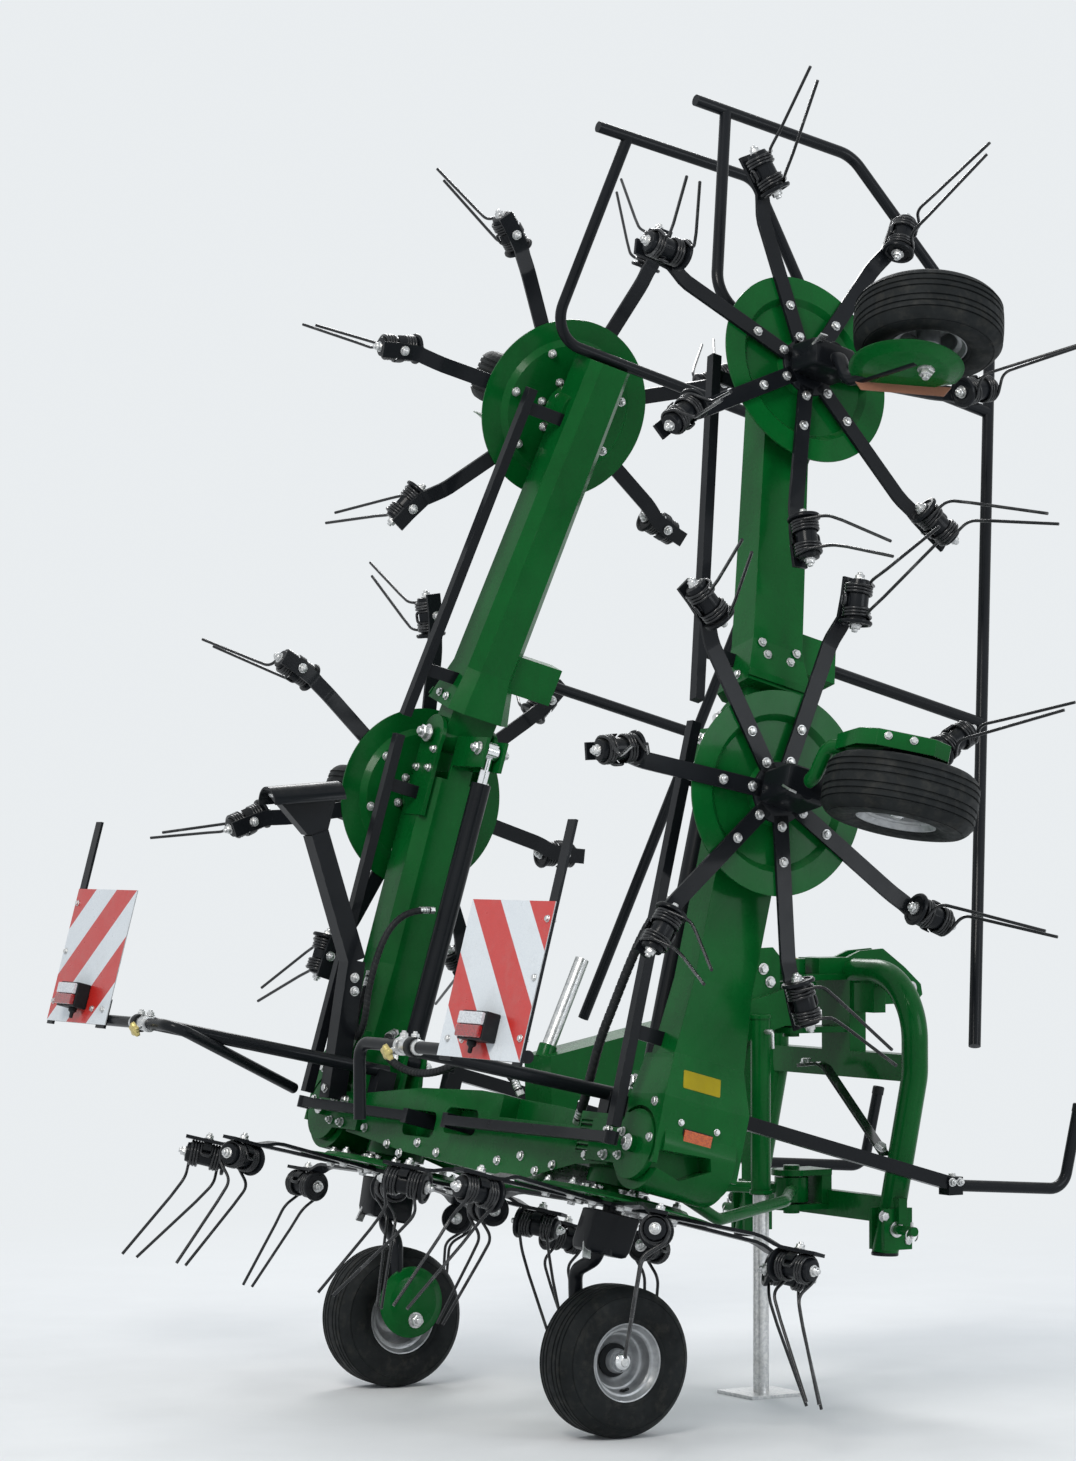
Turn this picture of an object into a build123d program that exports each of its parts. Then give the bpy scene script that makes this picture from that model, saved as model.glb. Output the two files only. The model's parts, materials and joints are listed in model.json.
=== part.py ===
"""Six-rotor hay tedder, folded up for transport, parked on its centre wheels and its stand.

Millimetres. X points right, Y forward to the tractor, Z up, and the floor is Z = 0. The right half of
the machine is modelled in its own planes, and the left half is its mirror image.
"""
import os
from math import cos, radians, sin

from build123d import *

# Layout of the whole machine
CENTRE_Y = -422
LEAN = 15
HINGE_Z = 800
ROTOR_PITCH = 1280
HINGE_REACH = 254
HINGE_X = ROTOR_PITCH / 2 + HINGE_REACH
ELBOW_REACH = 187
INNER_LENGTH = ROTOR_PITCH - HINGE_REACH + ELBOW_REACH
FOLD_INNER = 92.5
FOLD_OUTER = 107
DISH_DROP = 157
RUNNING_GAP = 0.05
SEAT_GAP = 0.3

# Rotors
DISH_R = 286
DISH_STEP_R = 205
DISH_STEP = 16
SHEET = 5
HUB_R = 62
HUB_TOP = 46
SPINDLE_R = 28
ARMS = 7
ARM_WIDTH = 48
ARM_THICK = 10
ARM_START_R = 64
HEAD_R = 583
HEAD_DROP = 72
HEAD_SKEW = 15
COIL_R = 41
COIL_LENGTH = 42
COIL_SPACING = 66
SPOOL_R = 27
CAP_R = 47
CAP_THICK = 10
PRONG_D = 9.5
PRONG_KINK = 78
PRONG_REACH = 155
PRONG_DROP = 349

# Wheels and their legs
AXLE_DROP = 435
TYRE_R = 212.5
TYRE_WIDTH = 166
BEAD_R = 100
RIM_WIDTH = 124
AXLE_R = 14
WHEEL_HUB_R = 34
GUARD_DISC_R = 160
GUARD_GAP = 14
BRACKET_WIDTH = 96
BRACKET_DEPTH = 118

# Beams
CENTRE_DEPTH = 250
SHOULDER_TOP = 54
SHOULDER_BOTTOM = -62
BEAM_UNDERSIDE = [(-371, -102), (-80, -118), (90, -128), (320, -136), (600, -72)]
BEAM_UPPER_SIDE = [(356, 92), (0, 106), (-356, 95)]
WINDOWS = [(-320, -12), (-82, 8)]
WINDOW_WIDTH = 188
WINDOW_HEIGHT = 78
STEP_LEFT = 130
STEP_RIGHT = 572
STEP_BOTTOM = 34
STEP_DEPTH = 58
LOUVRE_BOX_TOP = 78
HINGE_PLATE_R = 98
HINGE_PLATE = 18
HINGE_PIN_R = 24
PIN_HEAD = 18
KNUCKLE_R = 122
KNUCKLE_GAP = 5
SHROUD_FACE = -112
SHROUD_LOW = -48
SHROUD_HIGH = 140
SHROUD_END = 262
SHROUD_HALF = 142
SHROUD_REVEAL_R = 108
POCKET = [(-10, -126), (0, 36), (-34, 50), (-78, -33), (-58, -126)]
POCKET_DEPTH = 56
NECK_R = 90
INNER_HALF = 98
OUTER_HALF = 82
BEAM_BOTTOM = -76
BEAM_TOP = 62
ELBOW_PIN_R = 20
ELBOW_PLATE = 14
ELBOW_PLATE_R = 66
ELBOW_GAP = 6
GEARBOX_WIDTH = 190
GEARBOX_HEIGHT = 140
GEARBOX_DEPTH = 70
GEARBOX_Z = -45
STUB_R = 17.5
STUB_LENGTH = 76

# Lift cylinders
CYLINDER_X = 690
CYLINDER_Z = 185
CYLINDER_EYE_X = 1190
CYLINDER_EYE_Z = 205
BARREL_R = 31
ROD_SHOWS = 106
ROD_R = 16
EYE_R = 34
EYE_WIDTH = 44
CYLINDER_PIN_R = 15
LUG_PLATE = 12
LUG_GAP = 5

# Drawbar, swivel and headstock
DRAWBAR_WIDTH = 150
DRAWBAR_REAR_Z = 1032
DRAWBAR_BEND_Y = 700
DRAWBAR_BEND_Z = 1152
DRAWBAR_FRONT_Z = 1232
DRAWBAR_LOW_FRONT_Z = 1102
DRAWBAR_LOW_REAR_Z = 900
GUSSET = [(806, 1170), (818, 1300), (846, 1338), (896, 1340), (922, 1312), (922, 1180)]
SWIVEL_Y = 1000
SWIVEL_R = 25
SWIVEL_GAP = 5
UPPER_BOSS_LOW = 1100
UPPER_BOSS_HIGH = 1232
LOWER_BOSS_LOW = 562
LOWER_BOSS_HIGH = 638
LOWER_BOSS_R = 52
FORK_PLATE = 18
FORK_HALF = 62
STAY_R = 17.5
ARCH_TUBE_R = 40
ARCH_HALF = 370
ARCH_Y = 1196
ARCH_LEAN_Z = 960
ARCH_FOOT_Y = 1084
ARCH_FOOT_Z = 430
ARCH_TOP_Z = 1262
ARCH_BEND = 200
CROSS_Y = 1108
CROSS_LOW = 520
CROSS_HIGH = 598
CROSS_TOP_Z = 980
HEAD_PLATE = [(1170, 1150), (1337, 1158), (1440, 1158), (1468, 1186), (1462, 1218), (1400, 1272),
              (1318, 1330), (1231, 1324), (1170, 1300)]
LUG_X = 404
LINK_PIN_R = 14
LINK_PIN_LENGTH = 95
LINK_Y = 1095
LINK_Z = 505
TOP_BORE_R = 12.7
TOP_GAP = 52
TOP_PIN_Y = 1422
TOP_PIN_Z = 1206

# Parking stand
STAND_X = 112
STAND_Y = 812
STAND_R = 24
STAND_TOP = 1040
SLEEVE_R = 30
SLEEVE_LOW = 600
SLEEVE_HIGH = 1130
FOOT_SIZE = 190
FOOT_THICK = 10

# Guards, rods, boards
GUARD_TUBE_R = 17.5
GUARD_BEND = 110
GUARD_Y = 800
GUARD_SIDE_X = 850
GUARD_INNER_X = -1830
FRONT_BAR_X = 520
ROD_SIZE = 30
ROD_Y = -215
BALL_R = 20
ROD_GAP = 12
FRONT_BAR_CLAMP = (1240, 637)
FRONT_TUBE = [(1200, 640), (1640, 610), (1700, 860)]
BOARD_SIZE = 423
BOARD_THICK = 3
BOARD_X = 1232
BOARD_Y = -876
BOARD_Z = 290
CARRIER_R = 17
POST_WIDTH = 40
POST_THICK = 8
POST_X = BOARD_X + BOARD_SIZE / 2 - 18.5
POST_TOP = 720
BACK_STRIP_X = BOARD_X - BOARD_SIZE / 2 + 39.5
BACK_STRIP_TOP = 160
STOWED_TUBE_R = 21
STOWED_FOOT = (118, 1024)
STOWED_TOP = (250, 1312)
CRADLE_INSET = 94
CRADLE_X = CRADLE_INSET - HINGE_X
CRADLE_BEND = (-215, 453)
CRADLE_TOP = (-441, 800)
SADDLE_REAR = (-626, 838)
SADDLE_FRONT = (-394, 920)
SADDLE_R = 52
SADDLE_WEB = [(-478, 785), (-412, 792), (-411, 968), (-643, 886)]


def local(plane, x=0, y=0, z=0):
    """The same plane with its origin at a point given in its own axes."""
    return Plane(origin=plane.from_local_coords(Vector(x, y, z)), x_dir=plane.x_dir, z_dir=plane.z_dir)


def at(plane, x, y, z):
    """A point given in the plane's axes, in the machine's axes."""
    return plane.from_local_coords(Vector(x, y, z))


def folded(plane, x, angle):
    """A plane on the fold axis at x, turned up by the angle about the given plane's Y axis."""
    turn = radians(angle)
    along = plane.x_dir * cos(turn) + plane.z_dir * sin(turn)
    up = plane.z_dir * cos(turn) - plane.x_dir * sin(turn)
    return Plane(origin=at(plane, x, 0, 0), x_dir=along, z_dir=up)


def across(plane, x=0):
    """Sketch plane square to the plane's X axis; its own axes are the plane's Y and Z."""
    return Plane(origin=at(plane, x, 0, 0), x_dir=plane.y_dir, z_dir=plane.x_dir)


def rear(plane, y=0):
    """Sketch plane square to the plane's Y axis, seen from behind; its own axes are X and Z."""
    return Plane(origin=at(plane, 0, y, 0), x_dir=plane.x_dir, z_dir=-plane.y_dir)


def turned(plane, angle):
    """The plane turned about its own Z axis."""
    along = plane.x_dir * cos(radians(angle)) + plane.y_dir * sin(radians(angle))
    return Plane(origin=plane.origin, x_dir=along, z_dir=plane.z_dir)


def tube(points, radius, bend):
    """Bent round tube through the points, added to the part being built."""
    with BuildLine() as path:
        if len(points) > 2:
            FilletPolyline(*points, radius=bend)
        else:
            Line(*points)
    with BuildSketch(Plane(origin=path.line @ 0, z_dir=path.line % 0)) as section:
        Circle(radius)
    sweep(sections=section.sketch, path=path.line)


def bar(start, end, width, height, up):
    """Straight flat or square bar between two points; up is the direction of its height."""
    along = (Vector(end) - Vector(start)).normalized()
    side = Vector(up).cross(along).normalized()
    with BuildSketch(Plane(origin=start, x_dir=side, z_dir=along)) as section:
        Rectangle(width, height)
    extrude(section.sketch, amount=(Vector(end) - Vector(start)).length)


def pin(plane, radius, length):
    """Round pin along the plane's Z axis, centred on its origin, added to the part being built."""
    with BuildSketch(plane) as section:
        Circle(radius)
    extrude(section.sketch, amount=length / 2, both=True)


def block(plane, low, high, mode=Mode.ADD):
    """Box between two corners given in the plane's axes."""
    size = [high[axis] - low[axis] for axis in range(3)]
    middle = [(high[axis] + low[axis]) / 2 for axis in range(2)]
    with BuildSketch(local(plane, middle[0], middle[1], low[2])) as section:
        Rectangle(size[0], size[1])
    extrude(section.sketch, amount=size[2], mode=mode)


def bore(plane, radius, length):
    """Round hole along the plane's Z axis, centred on its origin."""
    with BuildSketch(plane) as section:
        Circle(radius)
    extrude(section.sketch, amount=length / 2, both=True, mode=Mode.SUBTRACT)


def crosswise(plane, x, z):
    """Plane at (x, 0, z) whose Z axis is the given plane's Y axis, for pins along that axis."""
    return Plane(origin=at(plane, x, 0, z), x_dir=plane.x_dir, z_dir=plane.y_dir)


def write(shape, name):
    """Label a finished part and write its file."""
    shape.label = name
    export_step(shape, f"parts/{name}.step")


def write_pair(shape, name):
    """Write the right-hand part and its mirror image."""
    write(shape, f"{name}_right")
    with BuildPart() as image:
        mirror(shape, about=Plane.YZ)
    write(image.part, f"{name}_left")


LEVEL = Plane(origin=(0, CENTRE_Y, 0))
DECK = Plane(
    origin=(0, CENTRE_Y, HINGE_Z),
    x_dir=(1, 0, 0),
    z_dir=(0, sin(radians(LEAN)), cos(radians(LEAN))),
)
INNER = folded(DECK, HINGE_X, FOLD_INNER)
OUTER = folded(INNER, INNER_LENGTH, FOLD_OUTER - FOLD_INNER)
ROTOR_1 = local(DECK, ROTOR_PITCH / 2, 0, -DISH_DROP)
ROTOR_2 = local(INNER, 1.5 * ROTOR_PITCH - HINGE_X, 0, -DISH_DROP)
ROTOR_3 = local(OUTER, 2.5 * ROTOR_PITCH - HINGE_X - INNER_LENGTH, 0, -DISH_DROP)


def dish(plane):
    """Pressed rotor dish with two steps, its hub running on the spindle."""
    with BuildPart() as piece:
        with BuildSketch(rear(plane)):
            with BuildLine():
                Polyline(
                    (SPINDLE_R + RUNNING_GAP, HUB_TOP),
                    (HUB_R, HUB_TOP),
                    (HUB_R + 8, DISH_STEP + SHEET),
                    (DISH_STEP_R, DISH_STEP + SHEET),
                    (DISH_STEP_R + 18, SHEET),
                    (DISH_R, SHEET),
                    (DISH_R, 0),
                    (DISH_STEP_R + 15, 0),
                    (DISH_STEP_R - 3, DISH_STEP),
                    (HUB_R + 30, DISH_STEP),
                    (HUB_R + 24, 0),
                    (SPINDLE_R + RUNNING_GAP, 0),
                    close=True,
                )
            make_face()
        revolve(axis=Axis(plane.origin, plane.z_dir))
    return piece.part


def prong(plane, inner_x):
    """One spring prong: down off its coil, a kink, then long and straight out to the tip."""
    start = (inner_x, COIL_R - 6, -PRONG_D)
    kink = (inner_x, -COIL_R / 2, -PRONG_KINK)
    tip = (inner_x / 2 + PRONG_REACH, 0, -PRONG_DROP)
    points = [at(plane, *start), at(plane, *kink), at(plane, *tip)]
    with BuildLine() as path:
        Polyline(*points)
    with BuildSketch(Plane(origin=path.line @ 0, z_dir=path.line % 0)) as section:
        RegularPolygon(PRONG_D / 2, 6)
    sweep(sections=section.sketch, path=path.line, transition=Transition.RIGHT)


def tine_arm():
    """Flat arm with its tine head of two coils and two prongs, lying along X from the rotor's centre."""
    spoke = Plane.XY
    head = turned(local(spoke, HEAD_R, 0, -HEAD_DROP), -HEAD_SKEW)
    half = COIL_SPACING / 2 + COIL_LENGTH / 2
    with BuildPart() as piece:
        with BuildSketch(local(spoke, ARM_START_R, 0, -ARM_THICK)):
            Rectangle(HEAD_R - ARM_START_R - 100, ARM_WIDTH, align=(Align.MIN, Align.CENTER))
        extrude(amount=ARM_THICK)
        bar(
            at(spoke, HEAD_R - 125, 0, -ARM_THICK / 2),
            at(spoke, HEAD_R - COIL_SPACING / 2 - 12, 0, -HEAD_DROP + SPOOL_R / 2),
            ARM_WIDTH,
            ARM_THICK + 4,
            spoke.z_dir,
        )
        with BuildSketch(across(head, -half - CAP_THICK)):
            Circle(CAP_R)
        extrude(amount=CAP_THICK)
        with BuildSketch(across(head, -half)):
            Circle(SPOOL_R)
        extrude(amount=2 * half + CAP_THICK)
        for centre in (-COIL_SPACING / 2, COIL_SPACING / 2):
            with BuildSketch(across(head, centre - COIL_LENGTH / 2)):
                Circle(COIL_R)
            extrude(amount=COIL_LENGTH)
        prong(head, -half + PRONG_D)
        prong(head, half - PRONG_D)
    return piece.part


def tine_arms(plane, phase, arm):
    """Ring under the dish with seven copies of the arm, the first at the phase angle."""
    with BuildPart(turned(plane, phase)) as piece:
        with BuildSketch(local(turned(plane, phase), 0, 0, -ARM_THICK)):
            Circle(ARM_START_R + 22)
            Circle(SPINDLE_R + 6, mode=Mode.SUBTRACT)
        extrude(amount=ARM_THICK)
        with PolarLocations(0, ARMS):
            add(arm)
    return piece.part


def wheel_plane(rotor):
    """Plane at a wheel's centre below its rotor, with Z along the axle."""
    lean = radians(LEAN)
    return across(local(rotor, 0, AXLE_DROP * sin(lean), -AXLE_DROP * cos(lean)))


def tyre(plane):
    """Low pressure implement tyre."""
    half = TYRE_WIDTH / 2
    with BuildPart() as piece:
        with BuildSketch(rear(plane)):
            with BuildLine():
                Polyline(
                    (BEAD_R, -RIM_WIDTH / 2),
                    (BEAD_R + 24, -half + 4),
                    (BEAD_R + 52, -half),
                    (TYRE_R - 26, -half + 4),
                    (TYRE_R - 8, -half + 22),
                    (TYRE_R, -half + 46),
                    (TYRE_R, half - 46),
                    (TYRE_R - 8, half - 22),
                    (TYRE_R - 26, half - 4),
                    (BEAD_R + 52, half),
                    (BEAD_R + 24, half - 4),
                    (BEAD_R, RIM_WIDTH / 2),
                    close=True,
                )
            make_face()
        revolve(axis=Axis(plane.origin, plane.z_dir))
    return piece.part


def rim(plane):
    """Pressed steel rim with a dished disc and a hub on the axle."""
    half = RIM_WIDTH / 2
    bore = AXLE_R + RUNNING_GAP
    with BuildPart() as piece:
        with BuildSketch(rear(plane)):
            with BuildLine():
                Polyline(
                    (bore, -half - 6),
                    (WHEEL_HUB_R, -half - 6),
                    (WHEEL_HUB_R, -8),
                    (BEAD_R - 26, 4),
                    (BEAD_R - 22, -half + 14),
                    (BEAD_R - 6, -half + 4),
                    (BEAD_R, -half),
                    (BEAD_R, half),
                    (BEAD_R - 6, half - 4),
                    (BEAD_R - 22, half - 14),
                    (BEAD_R - 26, 14),
                    (WHEEL_HUB_R, 4),
                    (WHEEL_HUB_R, half + 6),
                    (bore, half + 6),
                    close=True,
                )
            make_face()
        revolve(axis=Axis(plane.origin, plane.z_dir))
    return piece.part


def leg(rotor, side):
    """Spindle, swivel bracket, leg plate, guard disc and axle; side says where the leg stands."""
    wheel = wheel_plane(rotor)
    stand_off = side * (TYRE_WIDTH / 2 + GUARD_GAP)
    low = -BRACKET_DEPTH - 20
    with BuildPart() as piece:
        with BuildSketch(local(rotor, 0, 0, low + 40)):
            Circle(SPINDLE_R)
        extrude(amount=HUB_TOP + SEAT_GAP - low - 40)
        with BuildSketch(rear(rotor)):
            with BuildLine():
                Polyline(
                    (-BRACKET_WIDTH / 2, -24),
                    (BRACKET_WIDTH / 2, -24),
                    (side * 20 + BRACKET_WIDTH / 2, low),
                    (side * 20 - BRACKET_WIDTH / 2, low),
                    close=True,
                )
            make_face()
        extrude(amount=BRACKET_WIDTH / 2, both=True)
        top = at(rotor, side * 40, 0, low + 30)
        foot = at(wheel, 0, 0, stand_off)
        halfway = wheel.to_local_coords(foot + (top - foot) * 0.76)
        knee = at(wheel, halfway.X, halfway.Y, stand_off)
        bar(knee, foot, 14, 62, rotor.y_dir)
        bar(top, knee, 40, 46, rotor.y_dir)
        with BuildSketch(local(wheel, 0, 0, stand_off - 3)):
            Circle(GUARD_DISC_R)
        extrude(amount=6)
        with BuildSketch(local(wheel, 0, 0, stand_off)):
            Circle(AXLE_R)
        extrude(amount=-side * (TYRE_WIDTH / 2 + GUARD_GAP + RIM_WIDTH / 2 + 16))
    return piece.part


def centre_beam():
    """Transverse box beam with its fold pins, a gearbox neck over each rotor and the input gearbox."""
    shoulder = HINGE_X - KNUCKLE_R - 14
    plate_y = CENTRE_DEPTH / 2 + HINGE_PLATE / 2
    pin_length = CENTRE_DEPTH + 2 * HINGE_PLATE + 2 * PIN_HEAD
    with BuildPart() as piece:
        with BuildSketch(rear(DECK)):
            with BuildLine():
                Polyline(
                    (-shoulder, SHOULDER_BOTTOM),
                    *BEAM_UNDERSIDE,
                    (shoulder, SHOULDER_BOTTOM),
                    (shoulder, SHOULDER_TOP),
                    *BEAM_UPPER_SIDE,
                    (-shoulder, SHOULDER_TOP),
                    close=True,
                )
            make_face()
        extrude(amount=CENTRE_DEPTH / 2, both=True)
        back = -CENTRE_DEPTH / 2
        block(DECK, (STEP_LEFT, back - 1, STEP_BOTTOM), (STEP_RIGHT, back + STEP_DEPTH, 150), Mode.SUBTRACT)
        block(DECK, (STEP_RIGHT, back, SHOULDER_BOTTOM), (shoulder - 20, back + STEP_DEPTH, LOUVRE_BOX_TOP))
        for end in (-1, 1):
            for face in (-1, 1):
                with BuildSketch(rear(DECK, face * plate_y)):
                    with Locations((end * HINGE_X, 0)):
                        Circle(HINGE_PLATE_R)
                    with Locations((end * (shoulder + HINGE_X - 90) / 2, 0)):
                        Rectangle(HINGE_X - shoulder + 90, SHOULDER_TOP - SHOULDER_BOTTOM)
                extrude(amount=HINGE_PLATE / 2, both=True)
            pin(crosswise(DECK, end * HINGE_X, 0), HINGE_PIN_R, pin_length)
            with BuildSketch(local(DECK, end * ROTOR_PITCH / 2, 0, HUB_TOP + SEAT_GAP - DISH_DROP)):
                Circle(NECK_R)
            extrude(amount=DISH_DROP - HUB_TOP - SEAT_GAP - 20)
            for face in (-1, 1):
                low_y = face * (EYE_WIDTH / 2 + LUG_GAP + LUG_PLATE / 2) - LUG_PLATE / 2
                lug = (end * CYLINDER_X - 40, low_y, 20)
                block(DECK, lug, (end * CYLINDER_X + 40, low_y + LUG_PLATE, CYLINDER_Z + 34))
            pin(crosswise(DECK, end * CYLINDER_X, CYLINDER_Z), CYLINDER_PIN_R, EYE_WIDTH + 60)
        with BuildSketch(rear(DECK, -CENTRE_DEPTH / 2)):
            with Locations(*WINDOWS):
                RectangleRounded(WINDOW_WIDTH, WINDOW_HEIGHT, 24)
        extrude(amount=-50, mode=Mode.SUBTRACT)
        half = GEARBOX_WIDTH / 2
        low = GEARBOX_Z - GEARBOX_HEIGHT / 2
        front = CENTRE_DEPTH / 2 + GEARBOX_DEPTH
        block(DECK, (-half, CENTRE_DEPTH / 2 - 20, low), (half, front, low + GEARBOX_HEIGHT))
        with BuildSketch(crosswise(local(DECK, 0, front, 0), 0, GEARBOX_Z)):
            Circle(STUB_R)
        extrude(amount=STUB_LENGTH)
    return piece.part


def beam_section(half, bottom, top):
    """Face of a folded sheet box beam, with its upper edges chamfered."""
    with BuildLine() as outline:
        Polyline(
            (-half, bottom),
            (half, bottom),
            (half, top - 34),
            (half * 0.62, top),
            (-half * 0.62, top),
            (-half, top - 34),
            close=True,
        )
    return make_face(outline.line)


def inner_beam():
    """Inner wing beam: hinge knuckle, box beam, gearbox neck, cylinder lug and fork for the elbow."""
    rotor_x = 1.5 * ROTOR_PITCH - HINGE_X
    knuckle_half = CENTRE_DEPTH / 2 - KNUCKLE_GAP
    fork_y = OUTER_HALF + ELBOW_GAP + ELBOW_PLATE / 2
    lug_y = EYE_WIDTH / 2 + LUG_GAP
    with BuildPart() as piece:
        with BuildSketch(rear(INNER)):
            with BuildLine():
                Polyline(
                    (SHROUD_LOW, SHROUD_FACE),
                    (SHROUD_HIGH, SHROUD_FACE),
                    (SHROUD_END, BEAM_BOTTOM - 4),
                    (SHROUD_END, BEAM_TOP),
                    (SHROUD_LOW, BEAM_TOP),
                    close=True,
                )
            make_face()
        extrude(amount=SHROUD_HALF, both=True)
        for face in (-1, 1):
            with BuildSketch(local(INNER, 0, 0, SHROUD_FACE - 1)):
                with BuildLine():
                    Polyline(
                        (SHROUD_HIGH, face * (SHROUD_HALF + 1)),
                        (SHROUD_END + 1, face * (SHROUD_HALF + 1)),
                        (SHROUD_END + 1, face * (knuckle_half - 3)),
                        (SHROUD_HIGH, face * (SHROUD_HALF + 0.5)),
                        close=True,
                    )
                make_face()
            extrude(amount=BEAM_TOP - SHROUD_FACE + 2, mode=Mode.SUBTRACT)
        bore(crosswise(INNER, 0, 0), SHROUD_REVEAL_R, 2 * SHROUD_HALF + 10)
        with BuildSketch(rear(INNER)):
            Circle(KNUCKLE_R)
            with BuildLine():
                Polyline(
                    (SHROUD_LOW, SHROUD_FACE),
                    (SHROUD_HIGH, SHROUD_FACE),
                    (260, BEAM_BOTTOM),
                    (260, BEAM_TOP),
                    (120, KNUCKLE_R - 30),
                    (0, KNUCKLE_R),
                    close=True,
                )
            make_face()
        extrude(amount=knuckle_half, both=True)
        with BuildSketch(across(INNER, 240)):
            add(beam_section(INNER_HALF + 22, BEAM_BOTTOM - 4, BEAM_TOP + 6))
        with BuildSketch(across(INNER, 480)):
            add(beam_section(INNER_HALF, BEAM_BOTTOM, BEAM_TOP))
        loft()
        with BuildSketch(across(INNER, 480)):
            add(beam_section(INNER_HALF, BEAM_BOTTOM, BEAM_TOP))
        extrude(amount=INNER_LENGTH - 480 - 130)
        with BuildSketch(local(INNER, rotor_x, 0, HUB_TOP + SEAT_GAP - DISH_DROP)):
            Circle(NECK_R)
        extrude(amount=DISH_DROP - HUB_TOP - SEAT_GAP)
        for face in (-1, 1):
            with BuildSketch(rear(INNER, face * fork_y)):
                with Locations((INNER_LENGTH, 0)):
                    Circle(ELBOW_PLATE_R)
                with Locations((INNER_LENGTH - 130, 0)):
                    Rectangle(260, 2 * ELBOW_PLATE_R - 12)
            extrude(amount=ELBOW_PLATE / 2, both=True)
            low_y = face * (lug_y + LUG_PLATE / 2) - LUG_PLATE / 2
            lug = (CYLINDER_EYE_X - 60, low_y, BEAM_TOP - 10)
            block(INNER, lug, (CYLINDER_EYE_X + 36, low_y + LUG_PLATE, CYLINDER_EYE_Z + 36))
        plate_end = INNER_LENGTH - 130
        lip = (plate_end - 10, -lug_y - LUG_PLATE, BEAM_TOP - 10)
        block(INNER, lip, (CYLINDER_EYE_X + 10, lug_y + LUG_PLATE, BEAM_TOP))
        block(INNER, (plate_end - 10, -fork_y, BEAM_BOTTOM + 20), (plate_end, fork_y, BEAM_TOP - 20))
        with BuildSketch(local(INNER, 0, 0, -KNUCKLE_R - 1)):
            with BuildLine():
                Polyline(*POCKET, close=True)
            make_face()
        extrude(amount=KNUCKLE_R + 1 + SHROUD_FACE + POCKET_DEPTH, mode=Mode.SUBTRACT)
        bore(crosswise(INNER, 0, 0), HINGE_PIN_R + RUNNING_GAP, 2 * CENTRE_DEPTH)
        bore(crosswise(INNER, INNER_LENGTH, 0), ELBOW_PIN_R + RUNNING_GAP, 2 * CENTRE_DEPTH)
    return piece.part


def outer_beam():
    """Outer wing beam: elbow root with its pin, flared box beam and gearbox neck."""
    rotor_x = 2.5 * ROTOR_PITCH - HINGE_X - INNER_LENGTH
    fork_y = OUTER_HALF + ELBOW_GAP + ELBOW_PLATE
    with BuildPart() as piece:
        with BuildSketch(rear(OUTER)):
            Circle(44)
            with Locations((70, -6)):
                Rectangle(140, 88)
        extrude(amount=OUTER_HALF, both=True)
        with BuildSketch(across(OUTER, 100)):
            add(beam_section(OUTER_HALF + 30, BEAM_BOTTOM - 20, BEAM_TOP + 24))
        with BuildSketch(across(OUTER, 240)):
            add(beam_section(OUTER_HALF + 4, BEAM_BOTTOM, BEAM_TOP))
        loft()
        with BuildSketch(across(OUTER, 240)):
            add(beam_section(OUTER_HALF + 4, BEAM_BOTTOM, BEAM_TOP))
        with BuildSketch(across(OUTER, rotor_x + 180)):
            add(beam_section(OUTER_HALF - 8, BEAM_BOTTOM, BEAM_TOP))
        loft()
        with BuildSketch(local(OUTER, rotor_x, 0, HUB_TOP + SEAT_GAP - DISH_DROP)):
            Circle(NECK_R)
        extrude(amount=DISH_DROP - HUB_TOP - SEAT_GAP)
        block(OUTER, (rotor_x - 890, OUTER_HALF - 10, -40), (rotor_x - 770, 230, 40))
        pin(crosswise(OUTER, 0, 0), ELBOW_PIN_R, 2 * fork_y + 24)
    return piece.part


def guard_frame(beam):
    """Black tube guard round the front of the folded wing, on its two stays."""
    x = 2.5 * ROTOR_PITCH - HINGE_X - INNER_LENGTH
    side = x + GUARD_SIDE_X
    cross = x + 180 + GUARD_TUBE_R + SEAT_GAP
    bow = [
        (side, -330, 0),
        (side + 36, 250, 0),
        (x + 420, GUARD_Y, 0),
        (x + GUARD_INNER_X, GUARD_Y, 0),
    ]
    stay = [(side + 6, -220, 0), (cross, -220, 0), (cross, GUARD_Y, 0)]
    with BuildPart() as piece:
        tube([at(OUTER, *point) for point in bow], GUARD_TUBE_R, GUARD_BEND)
        tube([at(OUTER, *point) for point in stay], GUARD_TUBE_R, GUARD_BEND)
        tube([at(OUTER, x - 830, 200, 0), at(OUTER, x - 830, GUARD_Y, 0)], GUARD_TUBE_R, 0)
        add(beam, mode=Mode.SUBTRACT)
    return piece.part


def wing_rod(plane, length, stations, beam):
    """Square control rod behind a wing beam, on a flat bracket at each station."""
    half = ROD_SIZE / 2
    start = BALL_R + ROD_GAP
    with BuildPart() as piece:
        block(plane, (start, ROD_Y - half, -half), (length, ROD_Y + half, half))
        for station in stations:
            block(plane, (station - 20, ROD_Y, -4), (station + 20, -60, 4))
        add(beam, mode=Mode.SUBTRACT)
    return piece.part


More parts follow.
